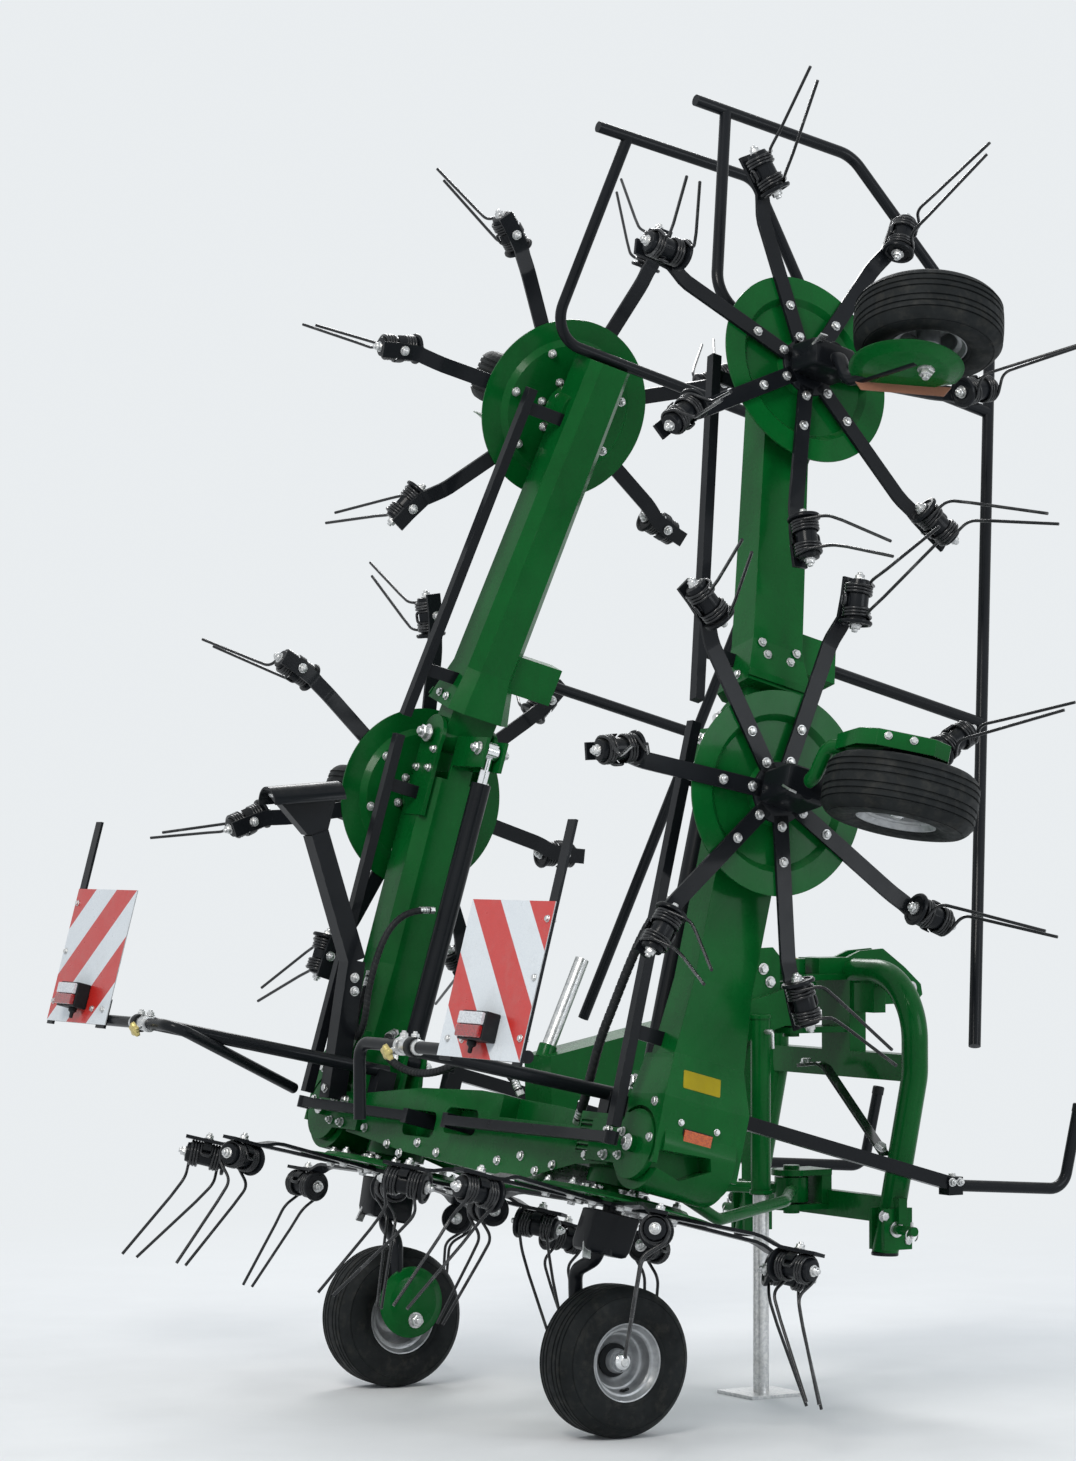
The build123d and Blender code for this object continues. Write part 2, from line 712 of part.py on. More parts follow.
def centre_rods():
    """Control rods from the two windows in the centre beam to the ball joints on the fold axes."""
    half = ROD_SIZE / 2
    near_y = -CENTRE_DEPTH / 2 - 42
    back_y = -CENTRE_DEPTH / 2 + 50
    with BuildPart() as piece:
        for end, window in ((-1, WINDOWS[0][0]), (1, WINDOWS[1][0])):
            block(DECK, (window - 14, near_y - half, -22), (window + 14, back_y, 22))
            start = at(DECK, window, near_y, 0)
            bar(start, at(DECK, end * HINGE_X, ROD_Y, 0), ROD_SIZE, ROD_SIZE, DECK.z_dir)
            pin(local(DECK, end * HINGE_X, ROD_Y, 0), BALL_R, ROD_SIZE + 6)
    return piece.part


def cylinder_barrel():
    """Lift cylinder barrel with its eye on the centre beam's lug."""
    base = at(DECK, CYLINDER_X, 0, CYLINDER_Z)
    eye = at(INNER, CYLINDER_EYE_X, 0, CYLINDER_EYE_Z)
    along = (eye - base).normalized()
    length = (eye - base).length
    with BuildPart() as piece:
        with BuildSketch(Plane(origin=base + along * 10, z_dir=along)):
            Circle(ROD_R + 4)
        extrude(amount=80)
        with BuildSketch(Plane(origin=base + along * 62, z_dir=along)):
            Circle(BARREL_R)
        extrude(amount=length - ROD_SHOWS - 62)
        pin(crosswise(DECK, CYLINDER_X, CYLINDER_Z), EYE_R, EYE_WIDTH)
        bore(crosswise(DECK, CYLINDER_X, CYLINDER_Z), CYLINDER_PIN_R + RUNNING_GAP, 2 * EYE_WIDTH)
        with BuildSketch(Plane(origin=base + along * 90, z_dir=along)):
            Circle(ROD_R + RUNNING_GAP)
        extrude(amount=length, mode=Mode.SUBTRACT)
    return piece.part


def cylinder_rod():
    """Lift cylinder rod with its eye between the plates on the inner wing."""
    base = at(DECK, CYLINDER_X, 0, CYLINDER_Z)
    eye = at(INNER, CYLINDER_EYE_X, 0, CYLINDER_EYE_Z)
    along = (eye - base).normalized()
    length = (eye - base).length
    with BuildPart() as piece:
        with BuildSketch(Plane(origin=base + along * 95, z_dir=along)):
            Circle(ROD_R)
        extrude(amount=length - 95)
        pin(crosswise(INNER, CYLINDER_EYE_X, CYLINDER_EYE_Z), EYE_R - 6, EYE_WIDTH - 4)
    return piece.part


def drawbar(beam):
    """Rising box drawbar on the centre beam, with the swivel boss and the stand's sleeve."""
    half = DRAWBAR_WIDTH / 2
    with BuildPart() as piece:
        with BuildSketch(across(LEVEL)):
            with BuildLine():
                Polyline(
                    (95, DRAWBAR_REAR_Z),
                    (DRAWBAR_BEND_Y, DRAWBAR_BEND_Z),
                    (SWIVEL_Y, DRAWBAR_FRONT_Z),
                    (SWIVEL_Y, DRAWBAR_LOW_FRONT_Z),
                    (SWIVEL_Y - FORK_HALF - 2 * SWIVEL_GAP, DRAWBAR_LOW_FRONT_Z),
                    (190, DRAWBAR_LOW_REAR_Z),
                    (170, 830),
                    (100, 830),
                    close=True,
                )
            make_face()
        extrude(amount=half, both=True)
        for end in (-1, 1):
            with BuildSketch(across(LEVEL, end * 50)):
                with BuildLine():
                    Polyline(*GUSSET, close=True)
                make_face()
            extrude(amount=5, both=True)
        with BuildSketch(local(LEVEL, 0, SWIVEL_Y, UPPER_BOSS_LOW)):
            Circle(half)
        extrude(amount=UPPER_BOSS_HIGH - UPPER_BOSS_LOW)
        with BuildSketch(local(LEVEL, STAND_X, STAND_Y, SLEEVE_LOW)):
            Circle(SLEEVE_R)
        extrude(amount=SLEEVE_HIGH - SLEEVE_LOW)
        block(LEVEL, (half - 4, STAND_Y - 26, SLEEVE_HIGH - 70), (STAND_X, STAND_Y + 26, SLEEVE_HIGH - 4))
        block(LEVEL, (20, STAND_Y - 8, SLEEVE_LOW + 40), (STAND_X, STAND_Y + 8, SLEEVE_HIGH - 50))
        with BuildSketch(local(LEVEL, 0, SWIVEL_Y, 0)):
            Circle(SWIVEL_R + RUNNING_GAP)
        extrude(amount=2000, mode=Mode.SUBTRACT)
        with BuildSketch(local(LEVEL, STAND_X, STAND_Y, 0)):
            Circle(STAND_R + RUNNING_GAP)
        extrude(amount=2000, mode=Mode.SUBTRACT)
        add(beam, mode=Mode.SUBTRACT)
    return piece.part


def lower_stays(beam):
    """Two bent tube stays from the centre beam's ends to the lower swivel boss."""
    with BuildPart() as piece:
        for end in (-1, 1):
            boss = at(LEVEL, end * 30, SWIVEL_Y - 20, (LOWER_BOSS_LOW + LOWER_BOSS_HIGH) / 2)
            points = [(end * 700, 100, -66), (end * 600, 381, -122), (end * 400, 730, -5)]
            tube([at(DECK, *point) for point in points] + [boss], STAY_R, 90)
        with BuildSketch(local(LEVEL, 0, SWIVEL_Y, LOWER_BOSS_LOW)):
            Circle(LOWER_BOSS_R)
        extrude(amount=LOWER_BOSS_HIGH - LOWER_BOSS_LOW)
        with BuildSketch(local(LEVEL, 0, SWIVEL_Y, 0)):
            Circle(SWIVEL_R + RUNNING_GAP)
        extrude(amount=2000, mode=Mode.SUBTRACT)
        add(beam, mode=Mode.SUBTRACT)
    return piece.part


def headstock():
    """Three-point headstock: tube arch, cross members, swivel forks with their pins, and link points."""
    half = ARCH_HALF
    arch = [
        (-half, ARCH_FOOT_Y, ARCH_FOOT_Z),
        (-half, ARCH_Y, ARCH_LEAN_Z),
        (-half, ARCH_Y, ARCH_TOP_Z),
        (half, ARCH_Y, ARCH_TOP_Z),
        (half, ARCH_Y, ARCH_LEAN_Z),
        (half, ARCH_FOOT_Y, ARCH_FOOT_Z),
    ]
    upper_low = UPPER_BOSS_LOW - SWIVEL_GAP - FORK_PLATE
    upper_high = UPPER_BOSS_HIGH + SWIVEL_GAP
    lower_low = LOWER_BOSS_LOW - SWIVEL_GAP - FORK_PLATE
    lower_high = LOWER_BOSS_HIGH + SWIVEL_GAP
    with BuildPart() as piece:
        tube([at(LEVEL, *point) for point in arch], ARCH_TUBE_R, ARCH_BEND)
        block(LEVEL, (-half, ARCH_Y - 30, CROSS_TOP_Z - 40), (half, ARCH_Y + 30, CROSS_TOP_Z + 40))
        block(LEVEL, (-half - 60, CROSS_Y - 15, CROSS_LOW), (half + 60, CROSS_Y + 15, CROSS_HIGH))
        block(LEVEL, (-75, ARCH_Y - 30, CROSS_TOP_Z), (75, ARCH_Y + 30, ARCH_TOP_Z))
        block(LEVEL, (-190, ARCH_Y - 22, 1140), (190, ARCH_Y + 22, ARCH_TOP_Z))
        block(LEVEL, (-60, CROSS_Y - 36, lower_low), (60, CROSS_Y, lower_high + FORK_PLATE))
        block(LEVEL, (-56, SWIVEL_Y + 66, upper_high), (56, ARCH_Y, upper_high + 68))
        for height in (upper_low, upper_high, lower_low, lower_high):
            front = ARCH_Y if height in (upper_low, upper_high) else CROSS_Y
            with BuildSketch(local(LEVEL, 0, 0, height)):
                with Locations((0, SWIVEL_Y)):
                    Circle(FORK_HALF)
                with Locations((0, (SWIVEL_Y + front) / 2)):
                    Rectangle(2 * FORK_HALF, front - SWIVEL_Y)
            extrude(amount=FORK_PLATE)
        for low, high in ((upper_low - 12, upper_high + 58), (lower_low - 12, lower_high + FORK_PLATE + 12)):
            with BuildSketch(local(LEVEL, 0, SWIVEL_Y, low)):
                Circle(SWIVEL_R)
            extrude(amount=high - low)
        with BuildSketch(local(LEVEL, 0, SWIVEL_Y, upper_high)):
            Circle(44)
        extrude(amount=FORK_PLATE + 48)
        for end in (-1, 1):
            with BuildSketch(across(LEVEL, end * (TOP_GAP / 2 + 6))):
                with BuildLine():
                    Polyline(*HEAD_PLATE, close=True)
                make_face()
            extrude(amount=6, both=True)
            for face in (end * LUG_X, end * (LUG_X - 64)):
                low = (face - 7, LINK_Y - 42, LINK_Z - 62)
                block(LEVEL, low, (face + 7, LINK_Y + 60, LINK_Z + 62))
            link = at(LEVEL, end * (LUG_X - 80), LINK_Y, LINK_Z)
            with BuildSketch(Plane(origin=link, z_dir=LEVEL.x_dir * end)):
                Circle(LINK_PIN_R)
            extrude(amount=80 + 7 + LINK_PIN_LENGTH)
        top = Plane(origin=at(LEVEL, 0, TOP_PIN_Y, TOP_PIN_Z), z_dir=LEVEL.x_dir)
        bore(top, TOP_BORE_R, 200)
    return piece.part


def parking_stand():
    """Round stand leg on its square foot, in the drawbar's sleeve."""
    with BuildPart() as piece:
        half = FOOT_SIZE / 2
        low = (STAND_X - half, STAND_Y - half, 0)
        block(LEVEL, low, (STAND_X + half, STAND_Y + half, FOOT_THICK))
        with BuildSketch(local(LEVEL, STAND_X, STAND_Y, FOOT_THICK)):
            Circle(STAND_R)
        extrude(amount=STAND_TOP - FOOT_THICK)
    return piece.part


def front_bars(beam):
    """Black bars over the tractor side of the centre rotors: square arm, then bent round tube."""
    with BuildPart() as piece:
        for end in (-1, 1):
            x = end * FRONT_BAR_X
            start = at(LEVEL, x, 100, 957)
            clamp = at(LEVEL, x, *FRONT_BAR_CLAMP)
            bar(start, clamp, 40, 40, (0, 0, 1))
            block(DECK, (x - 20, 40, 20), (x + 20, 90, 175))
            tube([at(LEVEL, x, *point) for point in FRONT_TUBE], GUARD_TUBE_R, 60)
        add(beam, mode=Mode.SUBTRACT)
    return piece.part


def board_carriers(beam):
    """Bent tubes that hold the warning boards behind the centre beam, with a post for each board."""
    tube_y = BOARD_Y + BOARD_THICK / 2 + POST_THICK + CARRIER_R - 1
    low_z = BOARD_Z - BOARD_SIZE / 2 + 20
    tails = {-1: (-895, -262, 33), 1: (550, -800, -105)}
    inner = {-1: -600, 1: 540}
    with BuildPart() as piece:
        for end in (-1, 1):
            outboard = at(DECK, end * (BOARD_X + BOARD_SIZE / 2 - 6.5), tube_y, low_z)
            bend = at(DECK, inner[end], tube_y, low_z)
            tube([outboard, bend, at(DECK, *tails[end])], CARRIER_R, 45)
            tube([at(DECK, end * 665, -80, 138), at(DECK, end * 725, tube_y - 8, low_z)], CARRIER_R + 3, 0)
            block(DECK, (end * 665 - 25, -120, 40), (end * 665 + 25, -60, 140))
            rear_face = BOARD_Y + BOARD_THICK / 2
            for x, width, high in ((POST_X, POST_WIDTH, POST_TOP), (BACK_STRIP_X, 60, BACK_STRIP_TOP)):
                low = (end * x - width / 2, rear_face, low_z - 30)
                block(DECK, low, (end * x + width / 2, rear_face + POST_THICK, high))
        add(beam, mode=Mode.SUBTRACT)
    return piece.part


def warning_boards():
    """Two square reflective boards."""
    half = BOARD_SIZE / 2
    with BuildPart() as piece:
        for end in (-1, 1):
            low = (end * BOARD_X - half, BOARD_Y - BOARD_THICK / 2, BOARD_Z - half)
            block(DECK, low, (end * BOARD_X + half, BOARD_Y + BOARD_THICK / 2, BOARD_Z + half))
    return piece.part


def lamps():
    """A rear lamp on each board."""
    with BuildPart() as piece:
        for end in (-1, 1):
            face = BOARD_Y - BOARD_THICK / 2
            low = (end * (BOARD_X + 10) - 65, face - 58, 118)
            block(DECK, low, (end * (BOARD_X + 10) + 65, face, 198))
    return piece.part


def stowed_tube(bar_part):
    """Spare galvanised tube leaning in its socket on the drawbar."""
    with BuildPart() as piece:
        tube([at(LEVEL, 0, *STOWED_FOOT), at(LEVEL, 0, *STOWED_TOP)], STOWED_TUBE_R, 0)
        add(bar_part, mode=Mode.SUBTRACT)
    return piece.part


def cradle_post():
    """Bent square post behind the left end of the centre beam, with its saddle."""
    face = -CENTRE_DEPTH / 2 - HINGE_PLATE - SEAT_GAP
    foot = at(DECK, CRADLE_X, face - 30, 26)
    bend = at(DECK, CRADLE_X, *CRADLE_BEND)
    top = at(DECK, CRADLE_X, *CRADLE_TOP)
    start = at(DECK, CRADLE_X, *SADDLE_REAR)
    end = at(DECK, CRADLE_X, *SADDLE_FRONT)
    with BuildPart() as piece:
        bar(foot, bend, 60, 60, DECK.x_dir)
        bar(bend, top, 60, 60, DECK.x_dir)
        with BuildSketch(across(DECK, CRADLE_X)):
            with BuildLine():
                Polyline(*SADDLE_WEB, close=True)
            make_face()
        extrude(amount=20, both=True)
        with BuildSketch(Plane(origin=start, x_dir=DECK.x_dir, z_dir=end - start)):
            Circle(SADDLE_R + 5)
            Circle(SADDLE_R, mode=Mode.SUBTRACT)
            with Locations((0, SADDLE_R)):
                Rectangle(3 * SADDLE_R, 2 * SADDLE_R, mode=Mode.SUBTRACT)
        extrude(amount=(end - start).length)
    return piece.part


os.makedirs("parts", exist_ok=True)

# Rotors and their wheels; angle is that of the first arm from outboard towards the front, and side is
# where the leg stands: -1 inboard of the wheel, 1 outboard
ROTORS = [
    # name, plane, left angle, right angle, side
    ("1", ROTOR_1, 2.5, -20.0, -1),
    ("2", ROTOR_2, -9.6, -42.5, 1),
    ("3", ROTOR_3, -39.0, -23.0, -1),
]
legs = {}
arm = tine_arm()
for number, rotor, left_angle, right_angle, side in ROTORS:
    write_pair(dish(rotor), f"rotor_{number}_dish")
    write(tine_arms(rotor, right_angle, arm), f"rotor_{number}_arms_right")
    with BuildPart() as left_arms:
        mirror(tine_arms(rotor, left_angle, arm), about=Plane.YZ)
    write(left_arms.part, f"rotor_{number}_arms_left")
    wheel = wheel_plane(rotor)
    write_pair(tyre(wheel), f"wheel_{number}_tyre")
    write_pair(rim(wheel), f"wheel_{number}_rim")
    legs[number] = leg(rotor, side)

with BuildPart() as centre_legs:
    add(legs["1"])
    mirror(legs["1"], about=Plane.YZ)
write(centre_legs.part, "centre_legs")
write_pair(legs["2"], "inner_leg")
write_pair(legs["3"], "outer_leg")

beam = centre_beam()
write(beam, "centre_beam")
inner = inner_beam()
outer = outer_beam()
write_pair(inner, "inner_beam")
write_pair(outer, "outer_beam")
write_pair(guard_frame(outer), "guard_frame")
write(centre_rods(), "centre_rods")
inner_end = INNER_LENGTH - BALL_R - ROD_GAP
outer_end = 2.5 * ROTOR_PITCH - HINGE_X - INNER_LENGTH + 30
write_pair(wing_rod(INNER, inner_end, (300, INNER_LENGTH - 190), inner), "inner_rod")
write_pair(wing_rod(OUTER, outer_end, (190, outer_end - 60), outer), "outer_rod")
write_pair(cylinder_barrel(), "cylinder_barrel")
write_pair(cylinder_rod(), "cylinder_rod")
tongue = drawbar(beam)
write(tongue, "drawbar")
write(lower_stays(beam), "lower_stays")
write(headstock(), "headstock")
write(parking_stand(), "parking_stand")
write(front_bars(beam), "front_bars")
write(board_carriers(beam), "board_carriers")
write(warning_boards(), "warning_boards")
write(lamps(), "rear_lamps")
write(stowed_tube(tongue), "stowed_tube")
write(cradle_post(), "cradle_post")
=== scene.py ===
"""Looks of the folded hay tedder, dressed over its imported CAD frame. Metres, +Y forward, floor at z = 0."""
import json
from math import acos, atan2, cos, radians, sin, tan, tau

import bmesh
import bpy
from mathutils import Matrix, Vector


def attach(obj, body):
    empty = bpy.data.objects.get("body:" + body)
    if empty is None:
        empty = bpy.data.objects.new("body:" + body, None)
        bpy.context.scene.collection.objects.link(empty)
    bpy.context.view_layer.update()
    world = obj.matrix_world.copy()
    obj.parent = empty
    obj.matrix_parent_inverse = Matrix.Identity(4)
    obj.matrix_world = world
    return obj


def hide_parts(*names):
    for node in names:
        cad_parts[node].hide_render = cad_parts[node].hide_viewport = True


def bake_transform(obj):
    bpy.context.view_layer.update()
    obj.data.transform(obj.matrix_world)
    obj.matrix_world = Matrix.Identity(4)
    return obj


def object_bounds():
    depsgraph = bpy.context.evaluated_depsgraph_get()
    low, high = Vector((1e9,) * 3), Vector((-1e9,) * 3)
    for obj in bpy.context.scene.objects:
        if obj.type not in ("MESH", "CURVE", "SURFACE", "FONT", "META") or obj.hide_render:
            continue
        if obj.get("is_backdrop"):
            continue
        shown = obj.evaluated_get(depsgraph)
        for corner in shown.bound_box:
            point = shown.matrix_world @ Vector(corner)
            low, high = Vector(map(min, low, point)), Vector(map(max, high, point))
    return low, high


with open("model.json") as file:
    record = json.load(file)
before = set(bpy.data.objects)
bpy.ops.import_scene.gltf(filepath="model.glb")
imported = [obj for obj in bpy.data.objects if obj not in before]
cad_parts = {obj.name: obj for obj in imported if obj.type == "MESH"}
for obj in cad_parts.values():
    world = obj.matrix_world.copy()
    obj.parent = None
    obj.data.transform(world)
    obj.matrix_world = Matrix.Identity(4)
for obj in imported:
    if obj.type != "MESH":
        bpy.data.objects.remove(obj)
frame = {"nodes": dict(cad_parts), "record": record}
cad_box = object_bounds()

# Layout, the same named sizes as in the CAD
CENTRE_Y = -0.422
LEAN = radians(15)
HINGE_Z = 0.8
ROTOR_PITCH = 1.28
HINGE_X = 0.894
INNER_LENGTH = 1.213
FOLD_INNER = radians(92.5)
FOLD_ELBOW = radians(14.5)
ROTOR_X = {1: ROTOR_PITCH / 2, 2: 1.5 * ROTOR_PITCH - HINGE_X, 3: 2.5 * ROTOR_PITCH - HINGE_X - INNER_LENGTH}
DISH_DROP = 0.157
AXLE_DROP = 0.435
BOARD_INNER_X = 1.0205
BOARD_LOW_Z = 0.0785


class Place:
    """A right-handed set of axes on the machine: x along the beam, y to the tractor side, z up off it."""

    def __init__(self, origin, x, y, z):
        self.origin = Vector(origin)
        self.x = Vector(x)
        self.y = Vector(y)
        self.z = Vector(z)

    def at(self, x=0.0, y=0.0, z=0.0):
        """A point given in these axes, in the machine's axes."""
        return self.origin + self.x * x + self.y * y + self.z * z

    def folded(self, x, angle):
        """Axes on the fold at x, turned up by the angle."""
        along = self.x * cos(angle) + self.z * sin(angle)
        up = self.z * cos(angle) - self.x * sin(angle)
        return Place(self.at(x), along, self.y, up)

    def moved(self, x=0.0, y=0.0, z=0.0):
        """The same axes at another origin."""
        return Place(self.at(x, y, z), self.x, self.y, self.z)

    def turned(self, angle):
        """These axes turned about their own z."""
        along = self.x * cos(angle) + self.y * sin(angle)
        across = self.y * cos(angle) - self.x * sin(angle)
        return Place(self.origin, along, across, self.z)

    def mirrored(self):
        """The mirror image on the machine's left; it is a left-handed set."""
        flip = Vector((-1, 1, 1))
        return Place(self.origin * flip, self.x * flip, self.y * flip, self.z * flip)


WORLD = Place((0, 0, 0), (1, 0, 0), (0, 1, 0), (0, 0, 1))
LEVEL = WORLD.moved(y=CENTRE_Y)
DECK = Place((0, CENTRE_Y, HINGE_Z), (1, 0, 0), (0, cos(LEAN), -sin(LEAN)), (0, sin(LEAN), cos(LEAN)))
INNER = DECK.folded(HINGE_X, FOLD_INNER)
OUTER = INNER.folded(INNER_LENGTH, FOLD_ELBOW)
ROTORS = {n: beam.moved(ROTOR_X[n], 0, -DISH_DROP) for n, beam in enumerate((DECK, INNER, OUTER), 1)}


def new_object(name, data):
    """An object of the scene that shows the given data."""
    thing = bpy.data.objects.new(name, data)
    bpy.context.scene.collection.objects.link(thing)
    return thing


# Materials
def feed(tree, node, inputs):
    """Set a node's inputs, given by name or number, to numbers, vectors, colours or other nodes' sockets."""
    for key, value in inputs.items():
        socket = node.inputs[key]
        if isinstance(value, bpy.types.NodeSocket):
            tree.links.new(value, socket)
        elif isinstance(value, tuple):
            socket.default_value = (*value, 1)[:len(socket.default_value)]
        else:
            socket.default_value = value


def add(tree, kind, inputs=None, **settings):
    """A new shader node with its settings and inputs."""
    node = tree.nodes.new("ShaderNode" + kind)
    for key, value in settings.items():
        setattr(node, key, value)
    feed(tree, node, inputs or {})
    return node


def new_material(name):
    """An empty node material with its tree and shader."""
    material = bpy.data.materials.new(name)
    material.use_nodes = True
    tree = material.node_tree
    tree.nodes.clear()
    shader = add(tree, "BsdfPrincipled")
    add(tree, "OutputMaterial", {"Surface": shader.outputs["BSDF"]})
    return material, tree, shader


def noise_value(tree, scale, detail=4.0, roughness=0.6, stretch=(1, 1, 1)):
    """Noise between 0 and 1 in the object's own coordinates."""
    mapping = add(tree, "Mapping", {"Vector": add(tree, "TexCoord").outputs["Object"], "Scale": stretch})
    spot = mapping.outputs["Vector"]
    noise = add(tree, "TexNoise", {"Vector": spot, "Scale": scale, "Detail": detail, "Roughness": roughness})
    return noise.outputs["Fac"]


def ramp(tree, value, stops):
    """Colour ramp over a value; stops are (position, colour) pairs, and a plain number is a grey."""
    node = add(tree, "ValToRGB", {"Fac": value})
    elements = node.color_ramp.elements
    while len(elements) < len(stops):
        elements.new(0.5)
    for element, (position, colour) in zip(elements, stops):
        element.position = position
        element.color = (*colour, 1) if isinstance(colour, tuple) else (colour,) * 3 + (1,)
    return node.outputs["Color"]


def mottle(tree, scale, detail, low, high, roughness=0.6, stretch=(1, 1, 1)):
    """Noise through a ramp between two (position, colour) stops."""
    return ramp(tree, noise_value(tree, scale, detail, roughness, stretch), [low, high])


def mix(tree, factor, first, second):
    """Colour mix; each of the colours is a socket or a plain colour."""
    return add(tree, "Mix", {0: factor, 6: first, 7: second}, data_type="RGBA").outputs[2]


def maths(tree, operation, first, second=0.0):
    """One math node over sockets or numbers."""
    return add(tree, "Math", {0: first, 1: second}, operation=operation).outputs[0]


def product(tree, first, second):
    """Two values multiplied."""
    return maths(tree, "MULTIPLY", first, second)


def bump(tree, shader, height, strength, distance, normal=None):
    """Surface relief from a height value, over a softened normal if one is given."""
    relief = add(tree, "Bump", {"Strength": strength, "Distance": distance, "Height": height})
    if normal:
        tree.links.new(normal, relief.inputs["Normal"])
    tree.links.new(relief.outputs["Normal"], shader.inputs["Normal"])


def facing_value(tree, normal, direction):
    """How far a normal looks along a direction, which is a socket or a vector."""
    return add(tree, "VectorMath", {0: normal, 1: direction}, operation="DOT_PRODUCT").outputs["Value"]


def surface_normal(tree):
    """The mesh's own normal."""
    return add(tree, "NewGeometry").outputs["Normal"]


def rounded_edges(tree, radius=0.0025):
    """Normal with the sharp edges softened, and a value that is 1 along those edges."""
    soft = add(tree, "Bevel", {"Radius": radius}, samples=4).outputs["Normal"]
    return soft, ramp(tree, facing_value(tree, soft, surface_normal(tree)), [(0.88, 1), (0.985, 0)])


def upward(tree):
    """1 on faces that look up, where dust lies."""
    return ramp(tree, facing_value(tree, surface_normal(tree), (0, 0, 1)), [(0.4, 0), (0.98, 1)])


def paint(name, colour, worn, roughness=0.2, dust=0.1, coat=0.1, wear=0.35, level=0.09, soft=True):
    """Glossy enamel on steel: soft mottling, a little dust on top faces, thin worn edges, orange peel."""
    material, tree, shader = new_material(name)
    darker = tuple(channel * 0.7 for channel in colour)
    grime = tuple(channel * 0.45 + 0.004 for channel in colour)
    mottled = mottle(tree, 4.0, 5.0, (0.3, darker), (0.68, colour))
    streaks = mottle(tree, 26.0, 5.0, (0.5, 0), (0.78, 1), 0.65, (1, 1, 0.16))
    grimy = mix(tree, product(tree, streaks, 0.28), mottled, grime)
    grain = mottle(tree, 34.0, 7.0, (0.42, 0), (0.72, 1), 0.7)
    dusty = product(tree, product(tree, upward(tree), grain), dust)
    soiled = mix(tree, dusty, grimy, (0.3, 0.28, 0.22))
    if soft:
        normal, edge = rounded_edges(tree)
    else:
        normal, edge = None, mottle(tree, 9.0, 4.0, (0.5, 0), (0.9, 1))
    chips = product(tree, edge, mottle(tree, 30.0, 6.0, (0.5, 0), (0.62, 1)))
    gloss = mottle(tree, 14.0, 6.0, (0.3, roughness), (0.78, roughness + 0.16))
    feed(tree, shader, {
        "Base Color": mix(tree, product(tree, chips, wear), soiled, worn),
        "Roughness": maths(tree, "ADD", gloss, product(tree, dusty, 0.9)),
        "Coat Weight": coat,
        "Coat Roughness": 0.09,
        "Specular IOR Level": level,
    })
    bump(tree, shader, noise_value(tree, 170.0, 2.0), 0.05, 0.0004, normal)
    return material


def metal(name, light, dark, roughness=0.32, metallic=0.9, stain=0.3, grain=90.0):
    """Plated, silvered or polished steel with its faint spangle and a few stains."""
    material, tree, shader = new_material(name)
    spangle = mottle(tree, grain, 2.0, (0.35, dark), (0.65, light))
    dull = mottle(tree, 11.0, 6.0, (0.5, 0), (0.8, 1))
    stained = mix(tree, product(tree, dull, stain), spangle, (0.22, 0.21, 0.18))
    normal, edge = rounded_edges(tree, 0.0015)
    bright = mix(tree, product(tree, edge, 0.4), stained, light)
    gloss = mottle(tree, 30.0, 5.0, (0.3, max(roughness - 0.08, 0.04)), (0.7, roughness + 0.12))
    feed(tree, shader, {"Base Color": bright, "Roughness": gloss, "Metallic": metallic})
    bump(tree, shader, noise_value(tree, 200.0, 2.0), 0.08, 0.0004, normal)
    return material


def rubber(name, colour, dust=0.12, roughness=0.5):
    """Black rubber with a little pale dust in scattered patches."""
    material, tree, shader = new_material(name)
    grey = tuple(channel * 1.7 + 0.006 for channel in colour)
    faded = mottle(tree, 9.0, 6.0, (0.3, colour), (0.75, grey))
    dirt = mottle(tree, 24.0, 8.0, (0.5, 0), (0.74, 1), 0.7)
    soiled = mix(tree, product(tree, dirt, dust), faded, (0.2, 0.18, 0.14))
    gloss = mottle(tree, 40.0, 4.0, (0.3, roughness), (0.7, roughness + 0.25))
    feed(tree, shader, {"Base Color": soiled, "Roughness": gloss, "Specular IOR Level": 0.14})
    bump(tree, shader, noise_value(tree, 220.0, 4.0), 0.18, 0.0006)
    return material


